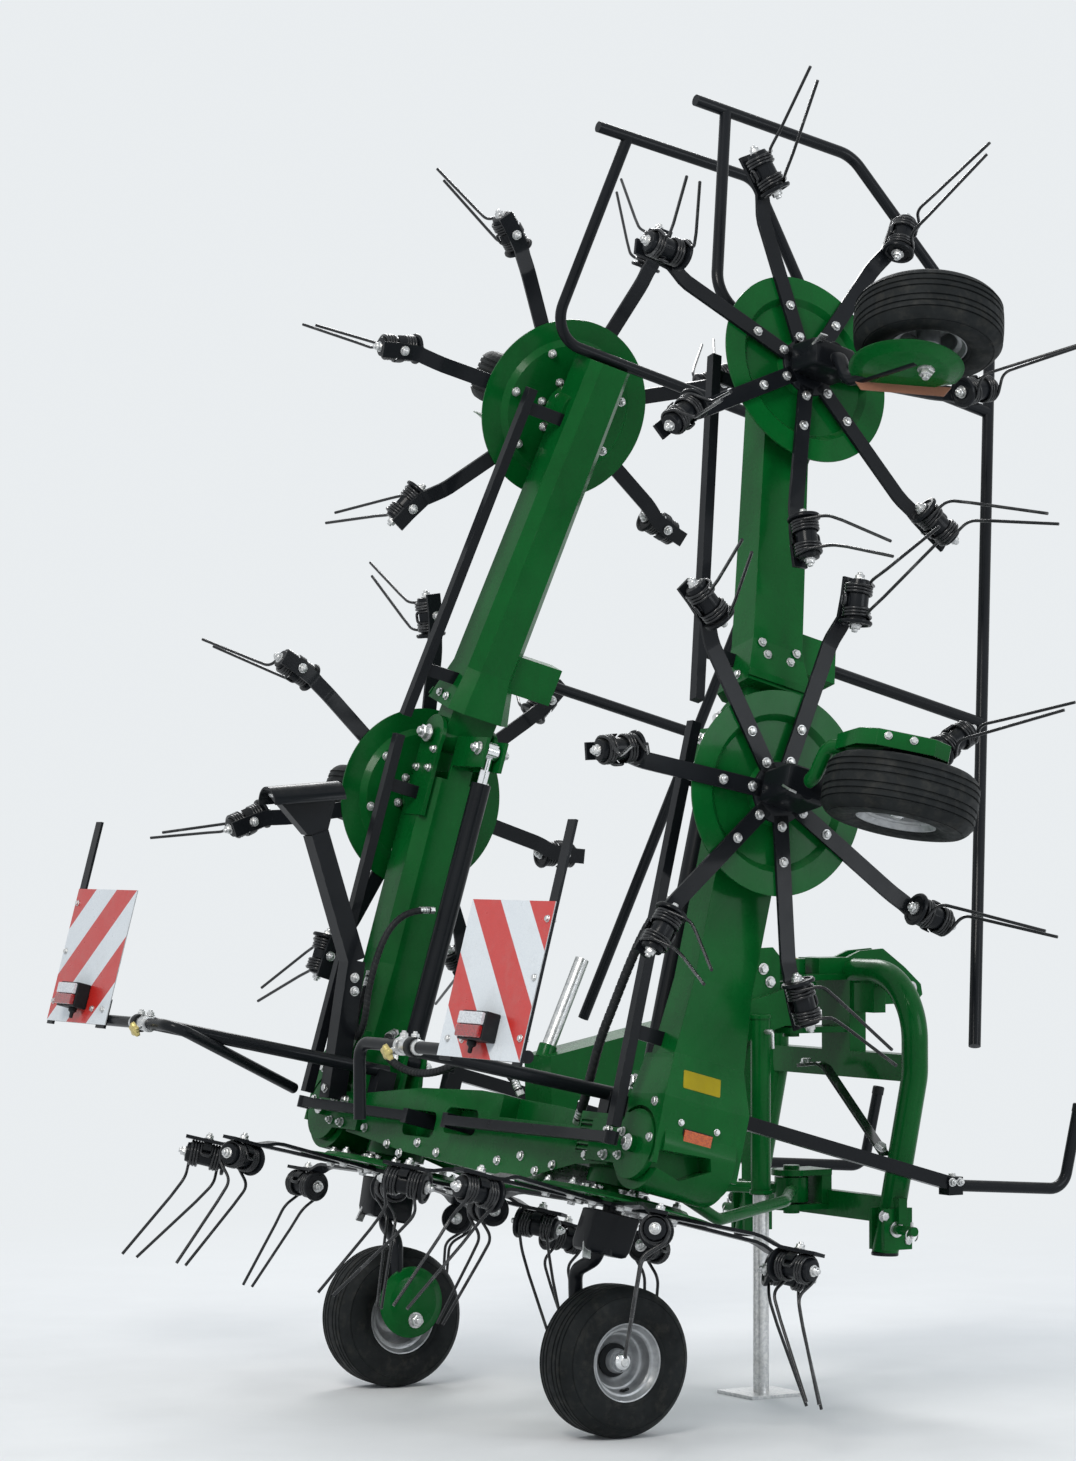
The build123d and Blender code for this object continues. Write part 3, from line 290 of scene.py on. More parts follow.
def board_stripes():
    """Slanting red and white film on the boards' rear face, mirrored left to right; grey steel behind."""
    stripe_pitch = 0.29
    material, tree, shader = new_material("board_stripes")
    split = add(tree, "SeparateXYZ", {0: add(tree, "TexCoord").outputs["Object"]})
    outboard = maths(tree, "SUBTRACT", maths(tree, "ABSOLUTE", split.outputs["X"]), BOARD_INNER_X)
    back = product(tree, maths(tree, "SUBTRACT", split.outputs["Y"], CENTRE_Y), sin(LEAN))
    up = product(tree, maths(tree, "SUBTRACT", split.outputs["Z"], HINGE_Z), cos(LEAN))
    height = maths(tree, "SUBTRACT", maths(tree, "ADD", back, up), BOARD_LOW_Z)
    slant = maths(tree, "ADD", maths(tree, "ADD", outboard, height), 0.01)
    band = maths(tree, "FRACT", maths(tree, "DIVIDE", slant, stripe_pitch))
    edge = ramp(tree, band, [(0.004, 0), (0.01, 0), (0.496, 0), (0.504, 1), (0.994, 1), (1.0, 0)])
    cells = noise_value(tree, 700.0, 1.0)
    red = ramp(tree, cells, [(0.35, (0.45, 0.012, 0.01)), (0.65, (0.57, 0.024, 0.016))])
    white = ramp(tree, cells, [(0.35, (0.6, 0.64, 0.68)), (0.65, (0.74, 0.77, 0.79))])
    film = mix(tree, edge, white, red)
    soil = mottle(tree, 12.0, 7.0, (0.52, 0), (0.82, 1), 0.7)
    film = mix(tree, product(tree, soil, 0.22), film, (0.25, 0.24, 0.21))
    rear = ramp(tree, facing_value(tree, surface_normal(tree), tuple(-DECK.y)), [(0.8, 0), (0.86, 1)])
    grey = mottle(tree, 60.0, 3.0, (0.35, (0.38, 0.39, 0.4)), (0.65, (0.5, 0.51, 0.52)))
    gloss = mottle(tree, 30.0, 4.0, (0.3, 0.26), (0.7, 0.42))
    feed(tree, shader, {"Base Color": mix(tree, rear, grey, film), "Roughness": gloss, "Coat Weight": 0.25})
    bump(tree, shader, noise_value(tree, 500.0, 1.0), 0.05, 0.0003)
    return material


def lens(name, colour, deep, ribs):
    """Moulded plastic lens with fine ribs, glossy."""
    material, tree, shader = new_material(name)
    spot = add(tree, "TexCoord").outputs["Object"]
    wave = add(tree, "TexWave", {"Vector": spot, "Scale": ribs, "Distortion": 0.0})
    cells = add(tree, "TexVoronoi", {"Vector": spot, "Scale": 210.0})
    shaded = ramp(tree, cells.outputs["Distance"], [(0.1, colour), (0.75, deep)])
    soiled = mix(tree, mottle(tree, 40.0, 6.0, (0.5, 0), (0.85, 0.25)), shaded, deep)
    gloss = mottle(tree, 60.0, 3.0, (0.3, 0.1), (0.7, 0.2))
    feed(tree, shader, {"Base Color": soiled, "Roughness": gloss, "Coat Weight": 0.7})
    bump(tree, shader, maths(tree, "ADD", wave.outputs["Fac"], cells.outputs["Distance"]), 0.35, 0.0008)
    return material


GREEN = paint("green_enamel", (0.0018, 0.102, 0.017), (0.1, 0.2, 0.11))
BLACK = paint("black_enamel", (0.009, 0.0105, 0.013), (0.16, 0.16, 0.16), 0.26, 0.1, 0.12)
SPRING = paint("spring_steel_black", (0.011, 0.012, 0.014), (0.3, 0.3, 0.3), 0.2, 0.03, 0.2, 0.5, 0.3, False)
YELLOW = paint("yellow_enamel", (0.38, 0.295, 0.008), (0.5, 0.45, 0.3), 0.3, 0.08, 0.1)
ZINC = metal("zinc_plate", (0.7, 0.7, 0.69), (0.5, 0.51, 0.52))
YELLOW_ZINC = metal("yellow_passivated_zinc", (0.66, 0.55, 0.22), (0.48, 0.4, 0.17), 0.34)
CHROME = metal("bright_steel", (0.86, 0.87, 0.88), (0.78, 0.79, 0.8), 0.12, 1.0, 0.12)
RIM_SILVER = metal("silver_lacquer", (0.4, 0.41, 0.42), (0.3, 0.31, 0.32), 0.34, 0.5, 0.35, 40.0)
TYRE = rubber("tyre_rubber", (0.0055, 0.0068, 0.0072), 0.1)
RUBBER_BLACK = rubber("moulded_black_plastic", (0.008, 0.009, 0.01), 0.06, 0.34)
HOSE = rubber("hose_cover", (0.01, 0.011, 0.012), 0.08, 0.32)
STRIPES = board_stripes()
LENS_RED = lens("red_lens", (0.42, 0.006, 0.008), (0.2, 0.002, 0.003), 40.0)
LENS_CLEAR = lens("clear_lens", (0.74, 0.76, 0.78), (0.5, 0.52, 0.55), 40.0)
ORANGE_LENS = lens("orange_reflector", (0.56, 0.1, 0.003), (0.36, 0.05, 0.002), 30.0)
PRIMER = paint("worn_primer", (0.36, 0.165, 0.105), (0.3, 0.3, 0.28), 0.4, 0.1, 0.05)
POLISHED = paint("polished_black", (0.01, 0.011, 0.012), (0.2, 0.2, 0.2), 0.08, 0.04, 1.0, 0.3, 0.5)

SLOT_MATERIAL = {
    "green_paint": GREEN,
    "black_paint": BLACK,
    "galvanised": ZINC,
    "spring_steel": SPRING,
    "tyre_rubber": TYRE,
    "board_face": STRIPES,
    "lamp_lens": RUBBER_BLACK,
    "chrome_rod": CHROME,
}
for part in frame["record"]["subparts"]:
    node = frame["nodes"][part["node"]]
    node.data.materials.clear()
    node.data.materials.append(SLOT_MATERIAL[part["material_slot"]])
BODY_OF = {node: body for body, nodes in frame["record"]["behaviour"]["bodies"].items() for node in nodes}


# Mesh making
def arc(radius, start, sweep, steps):
    """Points along an arc in x and y, both ends included, from angles in degrees."""
    turns = [radians(start + sweep * step / steps) for step in range(steps + 1)]
    return [(radius * cos(turn), radius * sin(turn)) for turn in turns]


def circle(radius, count, start=0.0):
    """Equally spaced points on a circle in x and y."""
    return arc(radius, start, 360, count)[:-1]


def corners(low, high):
    """The four corners of a box in x and y."""
    return [(low[0], low[1]), (high[0], low[1]), (high[0], high[1]), (low[0], high[1])]


def soft_box(low, high, radius):
    """Outline in x and y that runs round a box at the distance of the radius, its corners arcs."""
    outline = []
    for quarter, (x, y) in enumerate(corners(low, high)):
        outline += [(x + u, y + v) for u, v in arc(radius, 180 + 90 * quarter, 90, 3)]
    return outline


def carried(path):
    """Each point of a path with the two axes of its section, carried along without twist."""
    side = None
    for index, point in enumerate(path):
        along = (path[min(index + 1, len(path) - 1)] - path[max(index - 1, 0)]).normalized()
        if side is None:
            side = along.orthogonal().normalized()
        side = (side - along * side.dot(along)).normalized()
        yield point, side, along.cross(side)


class Form:
    """A mesh being built from closed pieces in chosen axes; each face keeps a material number."""

    def __init__(self):
        self.points = []
        self.faces = []
        self.slots = []

    def add(self, place, points, faces, slot=0):
        """Add a closed shell given in the place's axes."""
        start = len(self.points)
        self.points += [place.at(*point) for point in points]
        self.faces += [[start + index for index in face] for face in faces]
        self.slots += [slot] * len(faces)

    def loft(self, place, rings, slot=0, closed=False):
        """Skin equal rings of points, with flat ends unless the rings come round on themselves."""
        count = len(rings[0])
        faces = []
        for step in range(len(rings) if closed else len(rings) - 1):
            low = step * count
            high = (step + 1) % len(rings) * count
            for index in range(count):
                after = (index + 1) % count
                faces.append([low + index, low + after, high + after, high + index])
        if not closed:
            last = (len(rings) - 1) * count
            faces.append(list(range(count))[::-1])
            faces.append([last + index for index in range(count)])
        self.add(place, [point for ring in rings for point in ring], faces, slot)

    def prism(self, place, outline, low, high, slot=0):
        """Extrude an outline in x and y between two heights."""
        self.loft(place, [[(x, y, z) for x, y in outline] for z in (low, high)], slot)

    def block(self, place, low, high, slot=0):
        """Box between two corners."""
        self.prism(place, corners(low, high), low[2], high[2], slot)

    def lathe(self, place, profile, count=32, slot=0):
        """Turn an open or closed profile of (radius, height) about z; the ends are capped."""
        rings = [[(x, y, height) for x, y in circle(radius, count)] for radius, height in profile]
        self.loft(place, rings, slot)

    def ring(self, place, profile, count=48, slot=0):
        """Turn a closed outline of (radius, height) about z into a hollow ring."""
        rings = []
        for x, y in circle(1, count):
            rings.append([(radius * x, radius * y, height) for radius, height in profile])
        self.loft(place, rings, slot, closed=True)

    def wire(self, points, radius, sides=8, slot=0):
        """Round wire through points that are close together."""
        rings = []
        for point, side, up in carried([Vector(point) for point in points]):
            rings.append([tuple(point + side * x + up * y) for x, y in circle(radius, sides)])
        self.loft(WORLD, rings, slot)

    def bar(self, place, path, width, thick, slot=0):
        """Flat bar along points of the place's axes, its width level with the place's x and y."""
        path = [Vector(point) for point in path]
        rings = []
        for index, point in enumerate(path):
            along = (path[min(index + 1, len(path) - 1)] - path[max(index - 1, 0)]).normalized()
            side = Vector((-along.y, along.x, 0))
            side = side.normalized() if side.length > 0.01 else Vector((0, 1, 0))
            up = along.cross(side).normalized() * (thick / 2)
            side = side * (width / 2)
            rings.append([tuple(point + side * a + up * b) for a, b in ((-1, -1), (1, -1), (1, 1), (-1, 1))])
        self.loft(place, rings, slot)

    def bolt(self, place, size, slot=0, shank=0.0, nut=False):
        """Hexagon head on its washer, standing on the place's z = 0; a nut shows its thread end."""
        height = size * (0.8 if nut else 0.65)
        base = size * 0.18
        self.lathe(place, [(size * 1.1, 0), (size * 1.1, base)], 16, slot)
        levels = ((0.9, base), (0.9, base + height * 0.82), (0.756, base + height))
        self.loft(place, [[(x, y, z) for x, y in circle(size * grow, 6)] for grow, z in levels], slot)
        if nut or shank:
            top = base + height + (shank or size * 0.45)
            radius = size * 0.5
            profile = [(radius, base + height - 0.001), (radius, top - size * 0.1), (radius * 0.8, top)]
            self.lathe(place, profile, 12, slot)

    def bolts(self, place, spots, look, size, slot=0, nut=False):
        """Equal bolts at points of the place, all looking one way."""
        for spot in spots:
            self.bolt(facing(place, *spot, look), size, slot, nut=nut)

    def cheek_bolts(self, place, y, spots, size, nut=True):
        """Equal bolts on both cheeks of a beam, y off its middle; spots are (x, z)."""
        for face in (-1, 1):
            self.bolts(place, [(x, face * y, z) for x, z in spots], (0, face, 0), size, nut=nut)

    def gearbox_bolts(self, place, number, z):
        """Ring of bolts under the gearbox of a rotor."""
        spots = [(ROTOR_X[number] + x, y, z) for x, y in circle(0.083, 8, 22.5)]
        self.bolts(place, spots, (0, 0, -1), 0.01, nut=True)


def piece(name, form, materials, body, angle=38, bevel=0.0):
    """Make the form an object that rides on a body, shaded smooth below the given crease angle."""
    mesh = bpy.data.meshes.new(name)
    mesh.from_pydata(form.points, [], form.faces)
    mesh.update()
    shell = bmesh.new()
    shell.from_mesh(mesh)
    bmesh.ops.recalc_face_normals(shell, faces=shell.faces)
    shell.to_mesh(mesh)
    shell.free()
    for material in materials:
        mesh.materials.append(material)
    mesh.polygons.foreach_set("material_index", form.slots)
    mesh.shade_smooth()
    mesh.set_sharp_from_angle(angle=radians(angle))
    thing = new_object(name, mesh)
    if bevel:
        edge = thing.modifiers.new("edge", "BEVEL")
        edge.width = bevel
        edge.segments = 2
        edge.limit_method = "ANGLE"
        edge.angle_limit = radians(40)
        edge.harden_normals = True
    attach(thing, body)
    return thing


def rounded(points, bend, steps=6):
    """The points of a path with each corner turned into an arc of about the bend radius."""
    points = [Vector(point) for point in points]
    path = [points[0]]
    for before, corner, after in zip(points, points[1:], points[2:]):
        back = (before - corner).normalized()
        ahead = (after - corner).normalized()
        half = acos(max(-1, min(1, back.dot(ahead)))) / 2
        room = min((before - corner).length, (after - corner).length) * 0.49
        reach = min(bend / max(tan(half), 0.01), room)
        start = corner + back * reach
        end = corner + ahead * reach
        for step in range(steps + 1):
            part = step / steps
            path.append(start * (1 - part) ** 2 + corner * 2 * part * (1 - part) + end * part ** 2)
    path.append(points[-1])
    return path


def facing(place, x, y, z, direction):
    """Axes at a point of the place whose z looks along a direction given in the place's axes."""
    look = (place.x * direction[0] + place.y * direction[1] + place.z * direction[2]).normalized()
    side = look.orthogonal().normalized()
    return Place(place.at(x, y, z), side, look.cross(side), look)


def sides():
    """The two halves of the machine, with their axes."""
    yield "right", DECK, INNER, OUTER, ROTORS
    left_rotors = {number: place.mirrored() for number, place in ROTORS.items()}
    yield "left", DECK.mirrored(), INNER.mirrored(), OUTER.mirrored(), left_rotors


# Rotor arms with their sprung tine heads
HEAD_R = 0.583
HEAD_DROP = 0.072
HEAD_TURN = radians(-15)
COIL_R = 0.03625
WIRE_R = 0.00475
COIL_TURNS = 3.458
COIL_LEAVES = radians(-15.1)


def tine_wire(head):
    """One spring wire from tip to tip: prong, coil, hairpin under the clamp, coil and prong."""
    halves = []
    steps = int(COIL_TURNS * 20)
    for side in (-1, 1):
        coil = []
        for step in range(steps + 1):
            part = step / steps
            turn = COIL_LEAVES + tau * COIL_TURNS * part
            x = side * (0.0485 - 0.0317 * part)
            coil.append(Vector((x, COIL_R * cos(turn), COIL_R * sin(turn))))
        x = side * 0.0445
        leave = Vector((x, coil[0].y - 0.006, coil[0].z - 0.022))
        kink = Vector((x, -0.0205, -0.078))
        tip = Vector((x / 2 + 0.155, 0, -0.349))
        near = kink.lerp(tip, 0.25)
        prong = rounded([coil[0], leave, kink, near + Vector((-0.003, 0, 0)), tip], 0.05, 7)
        halves.append([*prong[:0:-1], *coil])
    inner = halves[0][-1]
    drop = Vector((0, -0.5, -0.866)) * 0.022
    other = halves[1][-1]
    hairpin = rounded([inner, inner + drop, other + drop, other], 0.014, 5)
    wire = [*halves[0], *hairpin[1:-1], *halves[1][::-1]]
    return [head.at(*point) for point in wire]


def tine_arm(form, arm):
    """Flat arm, its spring head with spool, end cap, clamp and wire, and the bolts through the dish."""
    head = arm.moved(HEAD_R, 0, -HEAD_DROP).turned(HEAD_TURN)
    path = [(0.064, 0, -0.005), (0.45, 0, -0.005), (0.475, 0.001, -0.009), (0.512, 0.0035, -0.0215)]
    path += [(0.535, 0.006, -0.0255), (0.6, -0.0055, -0.0262), (0.652, -0.018, -0.0262)]
    form.bar(arm, path, 0.048, 0.01, 1)
    form.wire(tine_wire(head), WIRE_R)
    axle = facing(head, 0, 0, 0, (1, 0, 0))
    spool = [(0.029, -0.0555), (0.031, -0.05), (0.031, 0.052), (0.029, 0.06), (0.018, 0.062)]
    form.lathe(axle, spool, 28, 1)
    cap = [(0.04, -0.054), (0.047, -0.056), (0.048, -0.061), (0.045, -0.066), (0.037, -0.0665)]
    cap += [(0.034, -0.0625), (0.021, -0.0625), (0.02, -0.0655), (0.012, -0.0655)]
    form.lathe(axle, cap, 32, 1)
    form.bolt(facing(head, -0.0655, 0, 0, (-1, 0, 0)), 0.017, 2, 0.008)
    form.bolt(facing(head, 0.062, 0, 0, (1, 0, 0)), 0.015, 2, nut=True)
    saddle = arc(0.0445, 20, 140, 12)
    outline = saddle + [(y * 0.93, z * 0.93) for y, z in saddle[::-1]]
    form.loft(head, [[(x, y, z) for y, z in outline] for x in (-0.0135, 0.0135)], 1)
    form.bolt(facing(head, 0, 0, 0.052, (0, 0, 1)), 0.014, 2, nut=True)
    for radius in (0.094, 0.192):
        form.bolt(facing(arm, radius, 0, -0.01, (0, 0, -1)), 0.013, 2)
        form.bolt(facing(arm, radius, 0, 0.021, (0, 0, 1)), 0.013, 2, nut=True)


ARM_ANGLES = {"right": (-20.0, -42.5, -23.0), "left": (2.5, -9.6, -39.0)}
for side, deck, inner, outer, rotors in sides():
    for number, rotor in rotors.items():
        form = Form()
        form.ring(rotor, [(0.034, -0.01), (0.085, -0.01), (0.086, -0.009), (0.086, 0), (0.034, 0)], 48, 1)
        for step in range(7):
            tine_arm(form, rotor.turned(radians(ARM_ANGLES[side][number - 1]) + tau * step / 7))
        body = f"rotor_{number}_{side}"
        tines = piece(f"rotor_{number}_tines_{side}", form, [SPRING, BLACK, ZINC], body, 50)
        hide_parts(f"rotor_{number}_arms_{side}")


# Wheels, their legs and guards
def wheel_place(rotor):
    """Axes at the wheel's centre below its rotor, with z along the axle."""
    hub = rotor.moved(0, AXLE_DROP * sin(LEAN), -AXLE_DROP * cos(LEAN))
    return Place(hub.origin, rotor.y, rotor.z, rotor.x)


def tyre_outline():
    """Section of the ribbed implement tyre as (radius, height), with its circumferential grooves."""
    side = [(0.1005, 0.058), (0.106, 0.068), (0.112, 0.073), (0.118, 0.0765), (0.121, 0.0765), (0.124, 0.079)]
    side += [(0.14, 0.0822), (0.155, 0.083), (0.17, 0.0822), (0.182, 0.0795), (0.1825, 0.0775)]
    side += [(0.1855, 0.0775), (0.1865, 0.0785), (0.194, 0.0735), (0.2005, 0.067), (0.2045, 0.061)]
    tread = []
    for groove in (0.0505, 0.0325, 0.0145):
        crown = 0.2125 - 1.05 * groove * groove
        tread += [(crown, groove + 0.0035), (crown - 0.0045, groove + 0.002)]
        tread += [(crown - 0.0045, groove - 0.002), (crown + 0.0002, groove - 0.0035)]
    upper = side + tread
    return upper + [(radius, -height) for radius, height in upper[::-1]]


def rim_outline(face):
    """Section of the pressed rim from lip to hub; face is the way its dished side looks."""
    lip = [(0.1115, 0.0665), (0.113, 0.069), (0.111, 0.0715), (0.106, 0.07), (0.101, 0.062), (0.0955, 0.056)]
    barrel = [*lip, (0.09, 0.0545), (0.0865, 0.05), (0.085, 0.033)]
    disc = [(0.0835, 0.0235), (0.079, 0.018), (0.0735, 0.017), (0.07, 0.013), (0.064, 0.005)]
    disc += [(0.056, -0.004), (0.044, -0.008), (0.04, -0.006), (0.035, -0.005)]
    hub = [(0.0345, 0.018), (0.033, 0.03), (0.03, 0.0335), (0.015, 0.0335)]
    behind = [(0.015, -0.068), (0.032, -0.068), (0.0345, -0.065), (0.0345, -0.013), (0.044, -0.013)]
    behind += [(0.058, -0.008), (0.074, 0.008), (0.08, 0.01), (0.0815, 0.005), (0.0815, -0.05)]
    behind += [(0.0865, -0.054)]
    behind += [(radius, -height) for radius, height in lip[::-1]]
    behind += [(0.103, -0.056), (0.1, -0.048), (0.1, 0.048), (0.103, 0.056)]
    return [(radius, height * face) for radius, height in barrel + disc + hub + behind]


def skirted_guard(form, wheel, off):
    """Green plate with a turned-down edge beside a wheel, bolted to the leg."""
    outline = [(-0.195, -0.06), (-0.15, 0.075), (-0.1, 0.112), (0.06, 0.112), (0.104, 0.07)]
    outline += [(0.112, -0.02), (0.06, -0.085), (-0.08, -0.1)]
    levels = ((0.86, 0.15), (0.97, 0.1495), (1.0, 0.147), (1.0, 0.103))
    levels += ((0.985, 0.103), (0.985, 0.144), (0.86, 0.145))
    middle = GUARD_EDGE * -0.03
    rings = []
    for grow, height in levels:
        ring = []
        for u, v in outline:
            spot = middle + (GUARD_EDGE * u - GUARD_CUT * v - middle) * grow
            ring.append((spot.x, spot.y, off * height))
        rings.append(ring)
    form.loft(wheel, rings, 1)
    for u in (-0.07, 0.0):
        spot = GUARD_EDGE * u - GUARD_CUT * 0.112
        form.bolt(facing(wheel, spot.x, spot.y, off * 0.133, -GUARD_CUT), 0.01, 2)


def dished_guard(form, wheel, off, size, height, half_moon):
    """Green dished disc on the leg's outer side; the half moon is cut straight and has a worn skirt."""
    cut_at = 0.078
    shell = [(0.03, 0.001), (0.118, 0.001), (0.124, -0.001), (0.15, -0.0105), (0.158, -0.0125)]
    shell += [(0.162, -0.012), (0.163, -0.0095), (0.158, -0.009), (0.15, -0.007)]
    shell += [(0.124, 0.003), (0.118, 0.005), (0.03, 0.005)]
    guard = wheel.moved(-0.036 * size, 0.05, off * height)
    rings = []
    for x, y in circle(size, 72):
        ring = []
        for radius, level in shell:
            spot = Vector((radius * x, radius * y, level * off))
            over = max(spot.dot(GUARD_CUT) - cut_at, 0) if half_moon else 0
            ring.append(tuple(spot - GUARD_CUT * over))
        rings.append(ring)
    form.loft(guard, rings, 1, closed=True)
    if half_moon:
        skirt = []
        for reach, level in ((-0.138, 0.001), (0.138, 0.001), (0.118, 0.03), (-0.118, 0.03)):
            skirt.append(GUARD_CUT * 0.077 - GUARD_EDGE * reach + Vector((0, 0, off * level)))
        rings = [[tuple(corner + GUARD_CUT * depth) for corner in skirt] for depth in (-0.002, 0.002)]
        form.loft(guard, rings, 3)
    form.lathe(facing(guard, 0, 0, 0, (0, 0, off)), [(0.031 * size, 0.0008), (0.031 * size, 0.0048)], 24, 1)
    form.bolt(facing(guard, 0.03 * size, -0.05, off * 0.005, (0, 0, off)), 0.022, 2, nut=True)


def wheel_leg(form, rotor, wheel, off, number):
    """Leg from the rotor's spindle down to the axle, on the off side of the wheel, with bolts and lever."""
    form.lathe(rotor, [(0.0278, 0.046), (0.0278, -0.14), (0.026, -0.142)], 28)
    form.lathe(rotor, [(0.024, 0.0455), (0.02, 0.05), (0.018, 0.056)], 24, 2)
    box = soft_box((-0.034, -0.062), (0.034, 0.062), 0.011)
    levels = ((-0.026, 0.94, 0.0), (-0.029, 1.0, 0.0), (-0.12, 1.0, 0.016), (-0.138, 0.93, 0.019))
    levels += ((-0.143, 0.8, 0.02),)
    rings = [[(x * grow + off * shift, y * grow, z) for x, y in box] for z, grow, shift in levels]
    form.loft(rotor, rings)
    down = [rotor.at(off * x, 0, z) for x, z in ((0.022, -0.108), (0.03, -0.158), (0.122, -0.2))]
    down.append(wheel.at(-0.046, -0.005, off * 0.122))
    form.wire(rounded(down, 0.045, 6), 0.0205, 20, 1 if number == 2 else 0)
    web = [(-0.07, -0.02), (0.01, -0.036), (0.032, -0.02), (0.034, 0.014), (0.016, 0.034), (-0.074, 0.046)]
    form.prism(wheel, web, off * 0.104, off * 0.114)
    boss = facing(wheel, 0, 0, off * 0.088, (0, 0, off))
    form.lathe(boss, [(0.034, 0), (0.036, 0.003), (0.036, 0.034), (0.033, 0.038), (0.018, 0.038)], 32)
    form.bolt(facing(wheel, 0, 0, off * 0.126, (0, 0, off)), 0.024, 2, nut=True)
    if number == 2:
        skirted_guard(form, wheel, off)
    elif number == 3:
        dished_guard(form, wheel, off, 1.0, 0.134, True)
    else:
        dished_guard(form, wheel, off, 0.66, 0.15, False)
    stub = facing(wheel, 0, 0, off * 0.09, (0, 0, -off))
    form.lathe(stub, [(0.0138, 0), (0.0138, 0.15), (0.012, 0.152)], 20, 2)
    form.bolt(facing(rotor, off * 0.012, -0.048, -0.088, (0, -1, 0)), 0.016, 2, nut=True)
    form.bolt(facing(rotor, off * 0.012, 0.048, -0.088, (0, 1, 0)), 0.016, 2)
    lever = [(off * 0.03, -0.05, -0.07), (off * 0.004, -0.06, -0.098), (off * -0.02, -0.062, -0.165)]
    form.bar(rotor, lever, 0.024, 0.006, 2)


VALVE_STEM = [(0.008, 0), (0.007, 0.006), (0.0042, 0.008), (0.0042, 0.026), (0.0048, 0.027), (0.0048, 0.035)]
LEG_SIDE = {1: -1, 2: 1, 3: -1}
GUARD_CUT = Vector((0.515, 0.857, 0))
GUARD_EDGE = Vector((0.857, -0.515, 0))
leg_forms = {"centre_legs": Form()}
for side, deck, inner, outer, rotors in sides():
    for number, rotor in rotors.items():
        wheel = wheel_place(rotor)
        off = LEG_SIDE[number]
        body = f"wheel_{number}_{side}"
        form = Form()
        form.ring(wheel, tyre_outline(), 96)
        tyre = piece(f"wheel_{number}_rubber_{side}", form, [TYRE], body, 32)
        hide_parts(f"wheel_{number}_tyre_{side}")

        form = Form()
        form.ring(wheel, rim_outline(-off), 72)
        cap = [(0.0305, 0.03), (0.03, 0.04), (0.029, 0.046), (0.025, 0.053), (0.018, 0.058), (0.008, 0.0605)]
        form.lathe(wheel, [(radius, height * -off) for radius, height in cap], 40, 1)
        collar = [(0.0345, 0.012), (0.047, 0.002), (0.048, -0.004), (0.043, -0.0085), (0.0345, -0.005)]
        form.ring(wheel, [(radius, height * -off) for radius, height in collar], 48, 2)
        valve = facing(wheel.turned(radians(-70)), 0.086, 0, 0.03 * -off, (-0.35, 0, -off))
        form.lathe(valve, VALVE_STEM, 14, 2)
        looks = [RIM_SILVER, CHROME, RUBBER_BLACK]
        rim = piece(f"wheel_{number}_disc_{side}", form, looks, body, 32)
        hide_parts(f"wheel_{number}_rim_{side}")

        node = "centre_legs" if number == 1 else f"{'inner' if number == 2 else 'outer'}_leg_{side}"
        wheel_leg(leg_forms.setdefault(node, Form()), rotor, wheel, off, number)
for node, form in leg_forms.items():
    edge = PRIMER if node == "outer_leg_right" else GREEN
    legs = piece(f"{node}_made", form, [BLACK, GREEN, ZINC, edge], BODY_OF[node], 36)
    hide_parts(node)


